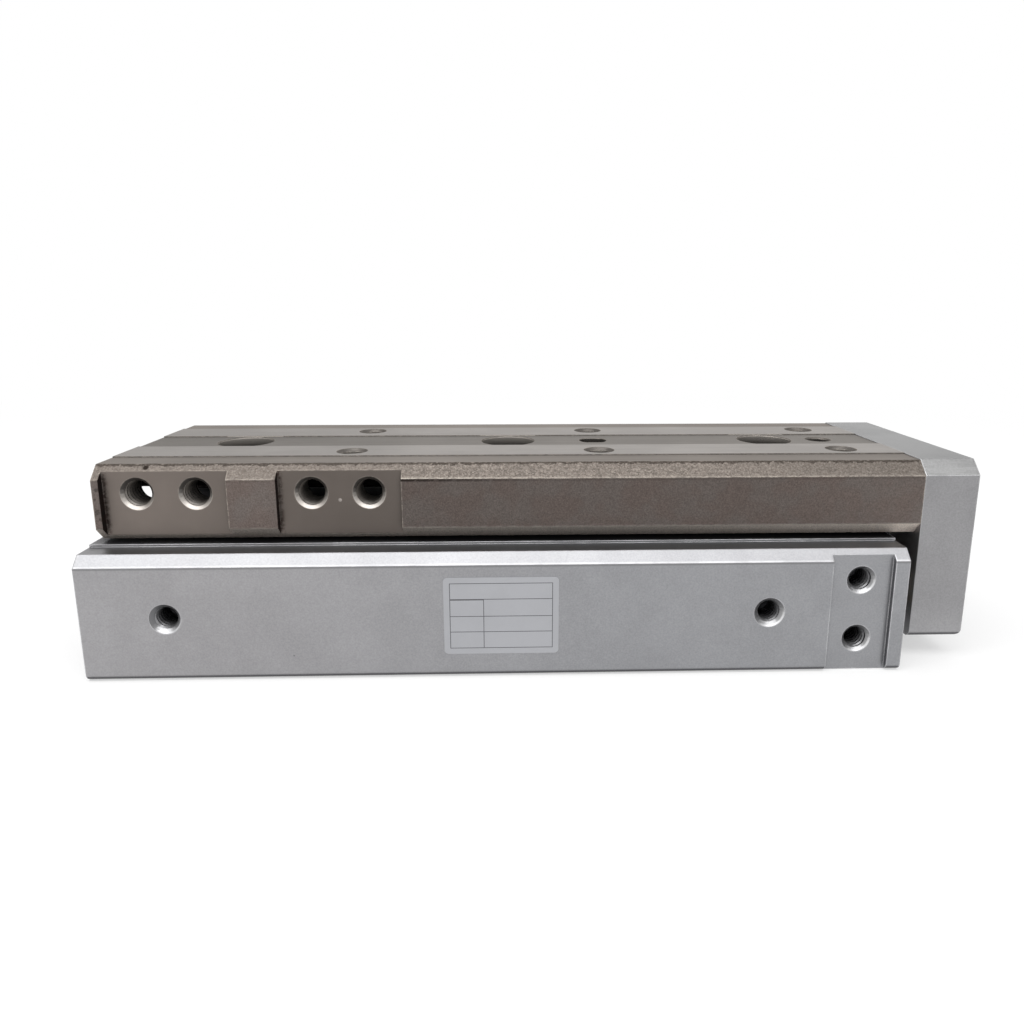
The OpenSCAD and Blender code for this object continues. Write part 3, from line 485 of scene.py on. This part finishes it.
def machined(name, colour, rough=0.3, fineness=(4000, 300, 300), contrast=0.18, metal=1.0,
             radius=0.00012, sunk=False):
    """Turned or ground metal with fine tool marks. Sunk metal gets painted shade down its hole."""
    material, tree, shader = finish_tree(name)
    lines = use(tree, drawn_lines, Fineness=fineness)["Lines"]
    edges = use(tree, soft_edges, Radius=radius)
    smudge = use(tree, handling, Size=0.012)["Smudge"]
    tone = ramp(tree, lines, 0, 1, 1 - contrast, 1 + contrast)
    tone = times(tree, tone, ramp(tree, smudge, 0, 1, 0.92, 1.04))
    base = tint(tree, colour, tone)
    bright = tuple(min(1.0, c * 1.35) for c in colour)
    # Paler edges: wear with a painted highlight.
    worn_and_painted_light = blend(tree, times(tree, edges["Edge"], 0.6), base, bright)
    if sunk:
        # Painted shade down the hole.
        sky = use(tree, open_sky, Reach=5 * MM)["Sky"]
        worn_and_painted_light = blend(tree, ramp(tree, sky, 0.42, 0.10, 0, 0.98), worn_and_painted_light, (0.010, 0.010, 0.011))
    roughness = ramp(tree, smudge, 0, 1, rough, rough + 0.1)
    coat(tree, shader, worn_and_painted_light, roughness, metal, edges["Normal"], lines, 0.000004)
    return material


def moulded(name, colour, rough=0.5, grain=0.0003, depth=0.00001, coat_weight=0.0):
    """Moulded resin, rubber or urethane with a fine skin."""
    material, tree, shader = finish_tree(name)
    grains = use(tree, blasted_grain, Size=grain, Contrast=0.22)
    smudge = use(tree, handling, Size=0.008)["Smudge"]
    tone = times(tree, grains["Shade"], ramp(tree, smudge, 0, 1, 0.88, 1.08))
    base = tint(tree, colour, tone)
    edges = use(tree, soft_edges, Radius=0.00015)
    # Paler edges: wear with a painted highlight.
    worn_and_painted_light = blend(tree, times(tree, edges["Edge"], 0.25), base,
                 tuple(min(1.0, c * 1.6 + 0.02) for c in colour))
    coat(tree, shader, worn_and_painted_light, ramp(tree, smudge, 0, 1, rough, rough + 0.12), 0.0,
         edges["Normal"], grains["Height"], depth, Coat_Weight=coat_weight)
    return material


def mark_at(tree, where, place, radius):
    """A small round mark at a place in the part's frame."""
    gap = node(tree, "VectorMath", {0: where, 1: tuple(place)}, operation="DISTANCE")
    return ramp(tree, gap.outputs["Value"], radius, radius * 0.5)


def table_zones(tree, where):
    """Masks for the table's kinds of surface, from where they lie and how they face."""
    x, y, z = split(tree, where)
    facing = true_facing(tree)
    nx, ny, nz = (size_of(tree, side) for side in facing)
    out = size_of(tree, y)
    half, top, foot = table_high.y, table_high.z, table_low.z
    strip_z = top - STRIP_DROP
    pad_y = -half + PAD_DEPTH

    upright = ramp(tree, ny, 0.85, 0.95)
    endways = ramp(tree, nx, 0.85, 0.95)
    level = ramp(tree, nz, 0.9, 0.97)
    slanted = times(tree, ramp(tree, nz, 0.5, 0.6), ramp(tree, nz, 0.9, 0.8))
    at_skin = over(tree, out, half - 0.2 * MM)
    raw_side = times(tree, upright, at_skin)
    top_bevel = times(tree, slanted, near(tree, plus(tree, out, z),
                                          half - TABLE_BEVEL + strip_z, 0.15 * MM))
    foot_bevel = times(tree, slanted, near(tree, less(tree, out, z),
                                           half - TABLE_FOOT_BEVEL - foot, 0.15 * MM))
    sloped = either(tree, top_bevel, foot_bevel)
    raw_end = times(tree, endways, under(tree, x, table_low.x + 0.1 * MM))
    raw = either(tree, raw_side, sloped, raw_end)
    high = times(tree, over(tree, z, top - 1 * MM), opposite(tree, raw_end))
    ground = times(tree, level, high)
    pad = times(tree, upright, under(tree, y, pad_y + 0.1 * MM), opposite(tree, at_skin))
    mouths = times(tree, ramp(tree, ny, 0.5, 0.6), ramp(tree, ny, 0.85, 0.8),
                   under(tree, y, pad_y + 0.7 * MM), opposite(tree, sloped))
    return SimpleNamespace(
        x=x, y=y, z=z, out=out, up=facing[2], nz=nz, lip_z=strip_z - TABLE_BEVEL,
        raw=raw, raw_side=raw_side, top_bevel=top_bevel, foot_bevel=foot_bevel, high=high,
        ground=ground, pad=pad, mouths=mouths,
        strip=times(tree, ground, over(tree, out, LAND_Y)),
        groove=times(tree, ground, under(tree, out, GROOVE_HALF + 0.05 * MM)),
        pad_wall=times(tree, endways, under(tree, y, pad_y + 0.05 * MM), opposite(tree, raw_end)),
        underside_in_shade=times(tree, level, under(tree, z, foot + 1 * MM)),
        inside=times(tree, *(opposite(tree, mask) for mask in (raw, ground, pad, mouths))))


def table_grains(tree, where):
    """The patterns that the table's colours and marks are made from."""
    flakes = node(tree, "TexVoronoi", {"Vector": where, "Scale": 1 / 0.00030})
    return SimpleNamespace(
        grit=use(tree, blasted_grain, Size=0.00026, Contrast=0.9),
        coarse=noise(tree, where, 0.00034, 3.0, 0.75),
        flake=first_colour(tree, flakes.outputs["Color"]),
        blotches=noise(tree, where, 0.0010, 4.0, 0.7),
        mottle=noise(tree, where, 0.0045, 2.0, 0.5),
        lengthways=use(tree, drawn_lines, Fineness=(30, 2600, 2600))["Lines"],
        smudge=use(tree, handling, Size=0.022)["Smudge"])


def raw_steel(tree, at, grains):
    """Brown scaled sides, with paler and grainier bevels."""
    grit_tone = times(tree, grains.grit["Shade"], ramp(tree, grains.coarse, 0.3, 0.7, 0.90, 1.10))
    side = blend(tree, ramp(tree, grains.mottle, 0.36, 0.64), (0.136, 0.110, 0.099),
                 (0.140, 0.120, 0.110))
    side = tint(tree, side, times(tree, grit_tone, ramp(tree, at.x, -48 * MM, -18 * MM, 1.36, 1.0),
                                  ramp(tree, at.x, 45 * MM, 80 * MM, 1.0, 1.16)))
    foot = tint(tree, (0.40, 0.36, 0.325),
                times(tree, grit_tone, ramp(tree, at.x, 20 * MM, 85 * MM, 1.24, 2.1)))
    bevel = blend(tree, ramp(tree, grains.coarse, 0.38, 0.64), (0.165, 0.140, 0.123),
                  (0.248, 0.220, 0.195))
    spread = times(tree, ramp(tree, at.x, 25 * MM, 65 * MM, 0.64, 0.36),
                   ramp(tree, at.x, -12 * MM, -24 * MM, 1.0, 0.6))
    flaked = maths(tree, "MULTIPLY_ADD", less(tree, grains.flake, 0.5), spread, 1.04)
    bevel = tint(tree, bevel, times(tree, flaked, ramp(tree, at.x, 40 * MM, 78 * MM, 1.0, 0.84)))
    return lay(tree, side, (at.top_bevel, bevel), (at.foot_bevel, foot))


def ground_steel(tree, at, grains):
    """The top: pale lands, duller strips beside them and a darker groove between them."""
    tone = times(tree, ramp(tree, grains.lengthways, 0, 1, 0.90, 1.08),
                 ramp(tree, grains.smudge, 0, 1, 0.94, 1.05))
    strip = blend(tree, ramp(tree, at.x, -45 * MM, 45 * MM), (0.265, 0.240, 0.221),
                  (0.228, 0.206, 0.190))
    colour = lay(tree, (0.362, 0.346, 0.334), (at.strip, strip),
                 (at.groove, (0.206, 0.194, 0.183)))
    return tint(tree, colour, tone)


def milled_steel(tree, at, grains):
    """The pads, a little paler towards the rear."""
    tone = times(tree, ramp(tree, grains.smudge, 0, 1, 0.93, 1.05),
                 ramp(tree, at.x, -66 * MM, -30 * MM, 1.47, 1.0))
    return tint(tree, (0.138, 0.118, 0.105), tone)


def pad_dirt_and_shade(tree, at, blotches):
    """Pad walls dark with oil and painted shade, blotchy darkening along the rear of each pad,
    blots beside them, and their corners.
    """
    starts = [table_low.x + PAD_START + i * PAD_PITCH for i in range(2)]
    rear_darkening = either(tree, *(
        times(tree, ramp(tree, at.x, start + 1.3 * MM, start + 0.2 * MM),
              over(tree, at.x, start - 0.1 * MM)) for start in starts))
    rear_darkening = times(tree, rear_darkening, either(tree, at.pad, at.pad_wall),
                   ramp(tree, blotches, 0.44, 0.58))
    blots = times(tree, at.raw_side, under(tree, at.x, starts[0]),
                  ramp(tree, blotches, 0.50, 0.62))
    corners = either(tree, *(near(tree, at.x, start, 0.5 * MM) for start in starts))
    # The pad walls are dark with oil and painted shade.
    layers = [(times(tree, at.pad_wall, 0.85), (0.030, 0.022, 0.020)),
              (times(tree, rear_darkening, 0.8), (0.045, 0.026, 0.021)),
              (times(tree, blots, 0.6), (0.050, 0.044, 0.040))]
    return layers, times(tree, corners, under(tree, at.z, at.lip_z + 1 * MM))


def table_lines(tree, at, grains, broken):
    """Scale along the table's edges, painted highlights along its bevels, and painted shade under
    the near bevel and at the steps of its top.
    """
    blotches = grains.blotches
    wander = less(tree, blotches, 0.5)
    bevel_top = table_high.y - TABLE_BEVEL + 0.10 * MM
    off_line = plus(tree, less(tree, at.out, bevel_top), times(tree, wander, 1.6 * MM))
    scale_line = times(tree, at.high, ramp(tree, size_of(tree, off_line), 0.30 * MM, 0.14 * MM),
                       ramp(tree, grains.coarse, 0.35, 0.6, 0.6, 1.0))

    foot_z = table_low.z + TABLE_FOOT_BEVEL
    # A painted highlight along the top of the foot bevel.
    foot_highlight = times(tree, at.raw_side, ramp(tree, at.z, foot_z + 0.35 * MM, foot_z + 0.10 * MM))

    # A painted highlight along the lower edge of the top bevel.
    rise = maths(tree, "MULTIPLY_ADD", wander, 1.2 * MM, at.z)
    table_lip_highlight = times(tree, at.top_bevel,
                     ramp(tree, rise, at.lip_z + 0.36 * MM, at.lip_z + 0.12 * MM),
                     ramp(tree, at.x, 20 * MM, -18 * MM, 0.4, 1.0),
                     ramp(tree, at.x, -20 * MM, -24 * MM, 1.0, 0.35),
                     ramp(tree, blotches, 0.42, 0.60, 0.25, 1.0))
    shade_line = times(tree, at.raw_side, under(tree, at.z, at.lip_z), under(tree, at.y, 0.0),
                       ramp(tree, at.z, at.lip_z - 0.70 * MM, at.lip_z - 0.30 * MM),
                       ramp(tree, at.x, 12 * MM, -18 * MM, 0.25, 1.0),
                       ramp(tree, at.x, -20 * MM, -24 * MM, 1.0, 0.15),
                       ramp(tree, blotches, 0.36, 0.5, 0.5, 1.0))

    # Painted shade at the steps of the top.
    steps = either(tree, *(
        ramp(tree, size_of(tree, less(tree, at.out, line)), 0.22 * MM, 0.08 * MM)
        for line in (LAND_Y, GROOVE_HALF)))
    return [(times(tree, scale_line, 0.9), (0.045, 0.036, 0.030)),
            (times(tree, foot_highlight, broken, 0.6), (0.26, 0.235, 0.215)),
            (times(tree, table_lip_highlight, 0.8), (0.60, 0.55, 0.49)),
            (times(tree, shade_line, 0.92), (0.022, 0.016, 0.014)),
            (times(tree, at.high, steps, 0.6), (0.06, 0.055, 0.05))]


def access_walls(tree, at, deep):
    """Painted light on the top of the access holes' walls."""
    pairs = ("through_holes_rear_pair", "through_holes_front_pair")
    centres = {round(place.x, 5) for pair in pairs for place in hole_places(mounts[pair])}
    reach = ACCESS_R + 0.5 * MM
    beside = either(tree, *(near(tree, at.x, centre, reach) for centre in sorted(centres)))
    return times(tree, at.inside, opposite(tree, deep), under(tree, at.nz, 0.3),
                 under(tree, at.out, reach), beside)


def table_steel(name):
    """Heat-treated steel: grainy brown sides, smooth milled pads, and a ground top, with painted
    light in its hole mouths and access holes and painted shade down its holes, under it and on its
    covered inner faces.
    """
    material, tree, shader = finish_tree(name)
    where = part_place(tree)
    at = table_zones(tree, where)
    grains = table_grains(tree, where)
    edges = use(tree, soft_edges, Radius=0.00038)
    dots = use(tree, specks, Spacing=0.0028, Share=0.06)["Specks"]
    hollow_shade = use(tree, hollow_shading, Reach=0.010)["Hollow"]
    sky = use(tree, open_sky, Reach=20 * MM)["Sky"]

    inner = blend(tree, grains.lengthways, (0.10, 0.092, 0.084), (0.15, 0.137, 0.127))
    # Painted light in the hole mouths: pale where they face up, dark where they face down.
    cone_painted_light = blend(tree, ramp(tree, at.up, -0.30, 0.55), (0.085, 0.078, 0.072), (0.60, 0.56, 0.52))
    deep = ramp(tree, at.z, table_high.z - 0.2 * MM, table_high.z - 3.4 * MM)
    lit_wall = access_walls(tree, at, deep)
    # Painted shade on inner faces that other pieces cover.
    painted_buried_shade = times(tree, at.inside, ramp(tree, sky, 0.90, 0.40), deep)
    broken = ramp(tree, grains.blotches, 0.38, 0.6, 0.25, 1.0)
    dirt_and_shade, corners = pad_dirt_and_shade(tree, at, grains.blotches)
    # Chipped edges with a painted highlight.
    chipped_and_glinting = times(tree, edges["Edge"], broken, ramp(tree, at.raw, 0, 1, 0.45, 0.95),
                    opposite(tree, corners))
    # Painted shade down the holes.
    painted_hollow_shade = times(tree, hollow_shade, opposite(tree, lit_wall),
                      maths(tree, "MULTIPLY_ADD", deep, 0.66, 0.30))
    knock = mark_at(tree, where, KNOCK, 0.68 * MM)
    shine = times(tree, mark_at(tree, where, BRIGHT_DOT, 0.42 * MM),
                  ramp(tree, grains.coarse, 0.35, 0.6, 0.5, 1.0))
    colour = lay(tree, inner,
                 (at.raw, raw_steel(tree, at, grains)),
                 (at.ground, ground_steel(tree, at, grains)),
                 (at.pad, milled_steel(tree, at, grains)),
                 (at.mouths, cone_painted_light),
                 # Painted shade on the underside.
                 (times(tree, at.underside_in_shade, 0.9), (0.02, 0.018, 0.016)),
                 (lit_wall, (0.46, 0.43, 0.395)),
                 (times(tree, painted_buried_shade, 0.97), (0.010, 0.009, 0.008)),
                 *dirt_and_shade,
                 (chipped_and_glinting, (0.56, 0.50, 0.44)),
                 *table_lines(tree, at, grains, broken),
                 (times(tree, dots, 0.55), (0.05, 0.04, 0.035)),
                 (painted_hollow_shade, (0.012, 0.010, 0.009)),
                 (times(tree, knock, 0.95), (0.020, 0.014, 0.011)),
                 (shine, (0.44, 0.40, 0.37)))

    rough = either(tree, ramp(tree, at.raw, 0, 1, 0.42, 0.62), times(tree, painted_buried_shade, 0.85))
    height = times(tree, plus(tree, grains.grit["Height"], grains.coarse),
                   maths(tree, "ADD", at.raw, 0.03, clamp=True))
    coat(tree, shader, colour, rough, 0.8, edges["Normal"], height, 0.00006)
    shader.inputs["Specular Tint"].default_value = (0.5, 0.48, 0.46, 1)
    return material


def label_foil(name):
    """Satin foil with a blank printed form: a frame with empty fields."""
    material, tree, shader = finish_tree(name)
    x, _, z = split(tree, part_place(tree))
    middle = (label_low + label_high) / 2
    half_x, half_z = (label_high.x - label_low.x) / 2, (label_high.z - label_low.z) / 2
    along = less(tree, x, middle.x)
    up = less(tree, z, middle.z)

    def inside(x0, x1, z0, z1):
        return times(tree, over(tree, along, x0), under(tree, along, x1),
                     over(tree, up, z0), under(tree, up, z1))

    def outline(x0, x1, z0, z1, line=0.14 * MM):
        return times(tree, inside(x0, x1, z0, z1),
                     opposite(tree, inside(x0 + line, x1 - line, z0 + line, z1 - line)))

    edge, column = 1.1 * MM, 6.4 * MM
    left, right, low, high = -half_x + edge, half_x - edge, -half_z + edge, half_z - edge
    row = (high - low) / 4
    ink = either(tree, outline(left, right, low, high),
                 outline(left, right, low + row, low + 2 * row),
                 outline(left, right, low + 3 * row, high),
                 outline(left, left + column, low, low + 3 * row))
    grains = use(tree, blasted_grain, Size=0.00012, Contrast=0.10)
    smudge = use(tree, handling, Size=0.01)["Smudge"]
    tone = times(tree, grains["Shade"], ramp(tree, smudge, 0, 1, 0.97, 1.02))
    foil = tint(tree, (0.482, 0.487, 0.513), tone)
    printed = blend(tree, times(tree, ink, 0.8), foil, (0.05, 0.05, 0.055))
    rough = ramp(tree, smudge, 0, 1, 0.36, 0.44)
    coat(tree, shader, printed, rough, 0.35, None, grains["Height"], 0.000004)
    return material


FINISHES = {
    "anodised_body": lambda name: anodised(name, (0.303, 0.304, 0.315), (0.36, 0.36, 0.372),
                                           (0.74, 0.74, 0.76)),
    "anodised_plate": lambda name: anodised(name, (0.296, 0.293, 0.300), 0.252,
                                            (0.70, 0.70, 0.71), plate=True),
    "table_steel": table_steel,
    "guide_steel": lambda name: machined(name, (0.42, 0.43, 0.44), 0.28, (30, 2500, 2500)),
    "ball_steel": lambda name: machined(name, (0.72, 0.73, 0.74), 0.08, (300, 300, 300), 0.04),
    "rod_steel": lambda name: machined(name, (0.62, 0.63, 0.64), 0.14, (6000, 60, 60), 0.06),
    "screw_steel": lambda name: machined(name, (0.23, 0.235, 0.245), 0.30, (2500, 900, 900)),
    "spring_steel": lambda name: machined(name, (0.06, 0.06, 0.065), 0.42, (900, 900, 900)),
    "cover_brass": lambda name: machined(name, (0.52, 0.36, 0.14), 0.28, (200, 3000, 3000)),
    "piston_metal": lambda name: machined(name, (0.56, 0.47, 0.27), 0.34, (5000, 150, 150)),
    "magnet_black": lambda name: moulded(name, (0.045, 0.045, 0.05), 0.55, 0.0002),
    "seal_rubber": lambda name: moulded(name, (0.012, 0.012, 0.014), 0.42, 0.0003),
    "cushion_urethane": lambda name: moulded(name, (0.60, 0.44, 0.10), 0.34, 0.0005,
                                             0.000006, 0.3),
    "cap_resin": lambda name: moulded(name, (0.035, 0.036, 0.038), 0.46, 0.00025, 0.000014),
    "guide_resin": lambda name: moulded(name, (0.66, 0.64, 0.57), 0.38, 0.0003),
    "scraper_steel": lambda name: moulded(name, (0.055, 0.056, 0.060), 0.50, 0.0002),
    "label_foil": label_foil,
}


def dress_nodes():
    """Gives every node of the frame the finish of its slot."""
    made = {slot: build(slot) for slot, build in FINISHES.items()}
    for part in record["subparts"]:
        mesh = frame["nodes"][part["node"]].data
        mesh.materials.clear()
        mesh.materials.append(made[part["material_slot"]])


dress_nodes()


# ---- Cut threads ----

STEPS = 28  # steps in one turn of a thread
LEAD_IN = 0.80  # mm from a hole's mouth to its first thread
M5_PITCH, M6_PITCH = 0.8, 1.0  # mm


def wind_ridge(mesh, mouth, out, radius, pitch, length):
    """Winds one closed three-sided ridge down the wall of a hole, fading in and out."""
    side = Vector((0, 0, 1)) if abs(out.z) < 0.5 else Vector((1, 0, 0))
    up = out.cross(side)
    last = int(length / pitch * STEPS)
    height, foot = 0.26 * pitch, 0.40 * pitch
    reach = radius + 0.03 * MM  # the ridge's foot lies in the wall
    faded = radius + 0.01 * MM  # so does its crest at both ends
    least_foot = 0.002 * MM
    rings = []
    for i in range(last + 1):
        turn = 2 * math.pi * i / STEPS
        away = side * math.cos(turn) + up * math.sin(turn)
        fade = min(1, 3 * i / STEPS, 3 * (last - i) / STEPS)
        down = mouth - out * (pitch * i / STEPS)
        spread = out * (foot * fade + least_foot)
        corners = [down + away * reach + spread,
                   down + away * (faded - height * fade),
                   down + away * reach - spread]
        rings.append([mesh.verts.new(corner) for corner in corners])
    for a, b in zip(rings, rings[1:]):
        for k in range(3):
            n = (k + 1) % 3
            mesh.faces.new((a[k], a[n], b[n], b[k]))
    mesh.faces.new(rings[0][::-1])
    mesh.faces.new(rings[-1])


def cut_threads(name, body, holes, finish):
    """holes lists (mount, how far its point is under the mouth, pitch, length), in mm."""
    mesh = bmesh.new()
    for mount_name, sunk, pitch, length in holes:
        mount = mounts[mount_name]
        out = Vector(mount["axis"])
        radius = mount["dims"].get("r_mm", mount["dims"].get("hole_r_mm")) * MM
        for place in hole_places(mount):
            start = place + out * ((sunk - LEAD_IN) * MM)
            wind_ridge(mesh, start, out, radius, pitch * MM, length * MM)
    bmesh.ops.recalc_face_normals(mesh, faces=mesh.faces)
    data = bpy.data.meshes.new(name)
    mesh.to_mesh(data)
    mesh.free()
    data.shade_smooth()
    data.set_sharp_from_angle(angle=math.radians(35))
    data.materials.append(finish)
    piece = add(name, data)
    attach(piece, body)


def thread_metal(name, colour, rough, contrast, metal=0.9):
    """Freshly cut metal with painted shade down its hole."""
    return machined(name, colour, rough, (900, 900, 900), contrast, metal, 0.00005, sunk=True)


cut_alloy = thread_metal("cut_alloy", (0.36, 0.36, 0.37), 0.28, 0.10)
cut_steel = thread_metal("cut_steel", (0.36, 0.335, 0.31), 0.34, 0.12)
dull_steel = thread_metal("dull_steel", (0.075, 0.068, 0.060), 0.48, 0.12, 0.7)
cut_threads("port_threads", "body_unit",
            [("rear_port", 3.5, M5_PITCH, 5.6), ("front_port", 3.5, M5_PITCH, 5.6)], cut_alloy)
cut_threads("seat_threads", "body_unit",
            [("adjuster_taps_body", 1.0, M5_PITCH, 5.6)], cut_alloy)
cut_threads("base_threads", "body_unit",
            [("bottom_taps", 1.0, M6_PITCH, 6.8)], cut_alloy)
cut_threads("pad_threads", "table_unit",
            [("adjuster_taps_table_rear", 1.0, M6_PITCH, 6.4),
             ("adjuster_taps_table_front", 1.0, M6_PITCH, 6.4)], cut_steel)
cut_threads("table_top_threads", "table_unit",
            [("table_taps_outer", 1.0, M6_PITCH, 4.8),
             ("table_taps_middle", 1.0, M6_PITCH, 4.8)], dull_steel)
cut_threads("plate_threads", "table_unit",
            [("front_taps", 1.0, M5_PITCH, 9.6)], cut_alloy)


# ---- Studio ----

def light(name, place, aim, size, power):
    lamp = bpy.data.lights.new(name, "AREA")
    lamp.shape = "RECTANGLE"
    lamp.size, lamp.size_y = size
    lamp.energy = power
    holder = add(name, lamp)
    holder.location = place
    holder.rotation_euler = (Vector(aim) - Vector(place)).to_track_quat("-Z", "Y").to_euler()
    holder.visible_camera = False


def seen_rays(tree):
    """1 where the camera, a gloss or glass sees the surface."""
    path = node(tree, "LightPath").outputs
    return either(tree, path["Is Camera Ray"], path["Is Glossy Ray"],
                  path["Is Transmission Ray"])


def studio():
    world = bpy.data.worlds.new("studio")
    bpy.context.scene.world = world
    world.use_nodes = True
    tree = world.node_tree
    tree.nodes.clear()
    ambient = node(tree, "Background", {"Color": (1, 1, 1), "Strength": 0.62})
    white = node(tree, "Background", {"Color": (1, 1, 1), "Strength": 1.0})
    mixed = node(tree, "MixShader", {0: seen_rays(tree), 1: ambient.outputs[0],
                                     2: white.outputs[0]})
    end = tree.nodes.new("ShaderNodeOutputWorld")
    tree.links.new(mixed.outputs[0], end.inputs[0])

    reach = 4.0
    data = bpy.data.meshes.new("floor")
    data.from_pydata([(-reach, -reach, 0), (reach, -reach, 0), (reach, reach, 0),
                      (-reach, reach, 0)], [], [(0, 1, 2, 3)])
    floor = add("floor", data)
    floor.location.z = -0.02 * MM  # a hair under the part
    material = bpy.data.materials.new("floor_white")
    material.use_nodes = True
    tree = material.node_tree
    tree.nodes.clear()
    seen = seen_rays(tree)
    matt = node(tree, "BsdfDiffuse", {"Color": (0.52, 0.52, 0.52)})
    glow = node(tree, "Emission", {"Color": (1, 1, 1),
                                   "Strength": times(tree, seen, 0.50)})
    both = node(tree, "AddShader", {0: matt.outputs[0], 1: glow.outputs[0]})
    white = node(tree, "Emission", {"Color": (1, 1, 1), "Strength": seen})
    away = node(tree, "VectorMath", {0: part_place(tree)}, operation="LENGTH").outputs["Value"]
    paper = node(tree, "MixShader", {0: ramp(tree, away, 0.18, 0.5), 1: both.outputs[0],
                                     2: white.outputs[0]})
    end = tree.nodes.new("ShaderNodeOutputMaterial")
    tree.links.new(paper.outputs[0], end.inputs[0])
    data.materials.append(material)

    light("overhead", (-0.08, -0.30, 0.75), (0, 0, 0), (1.3, 0.5), 4.9)
    light("back_fill", (0.2, 0.9, 0.6), (0, 0, 0.02), (0.8, 0.5), 0.8)
    bpy.context.scene.view_settings.view_transform = "Standard"


studio()
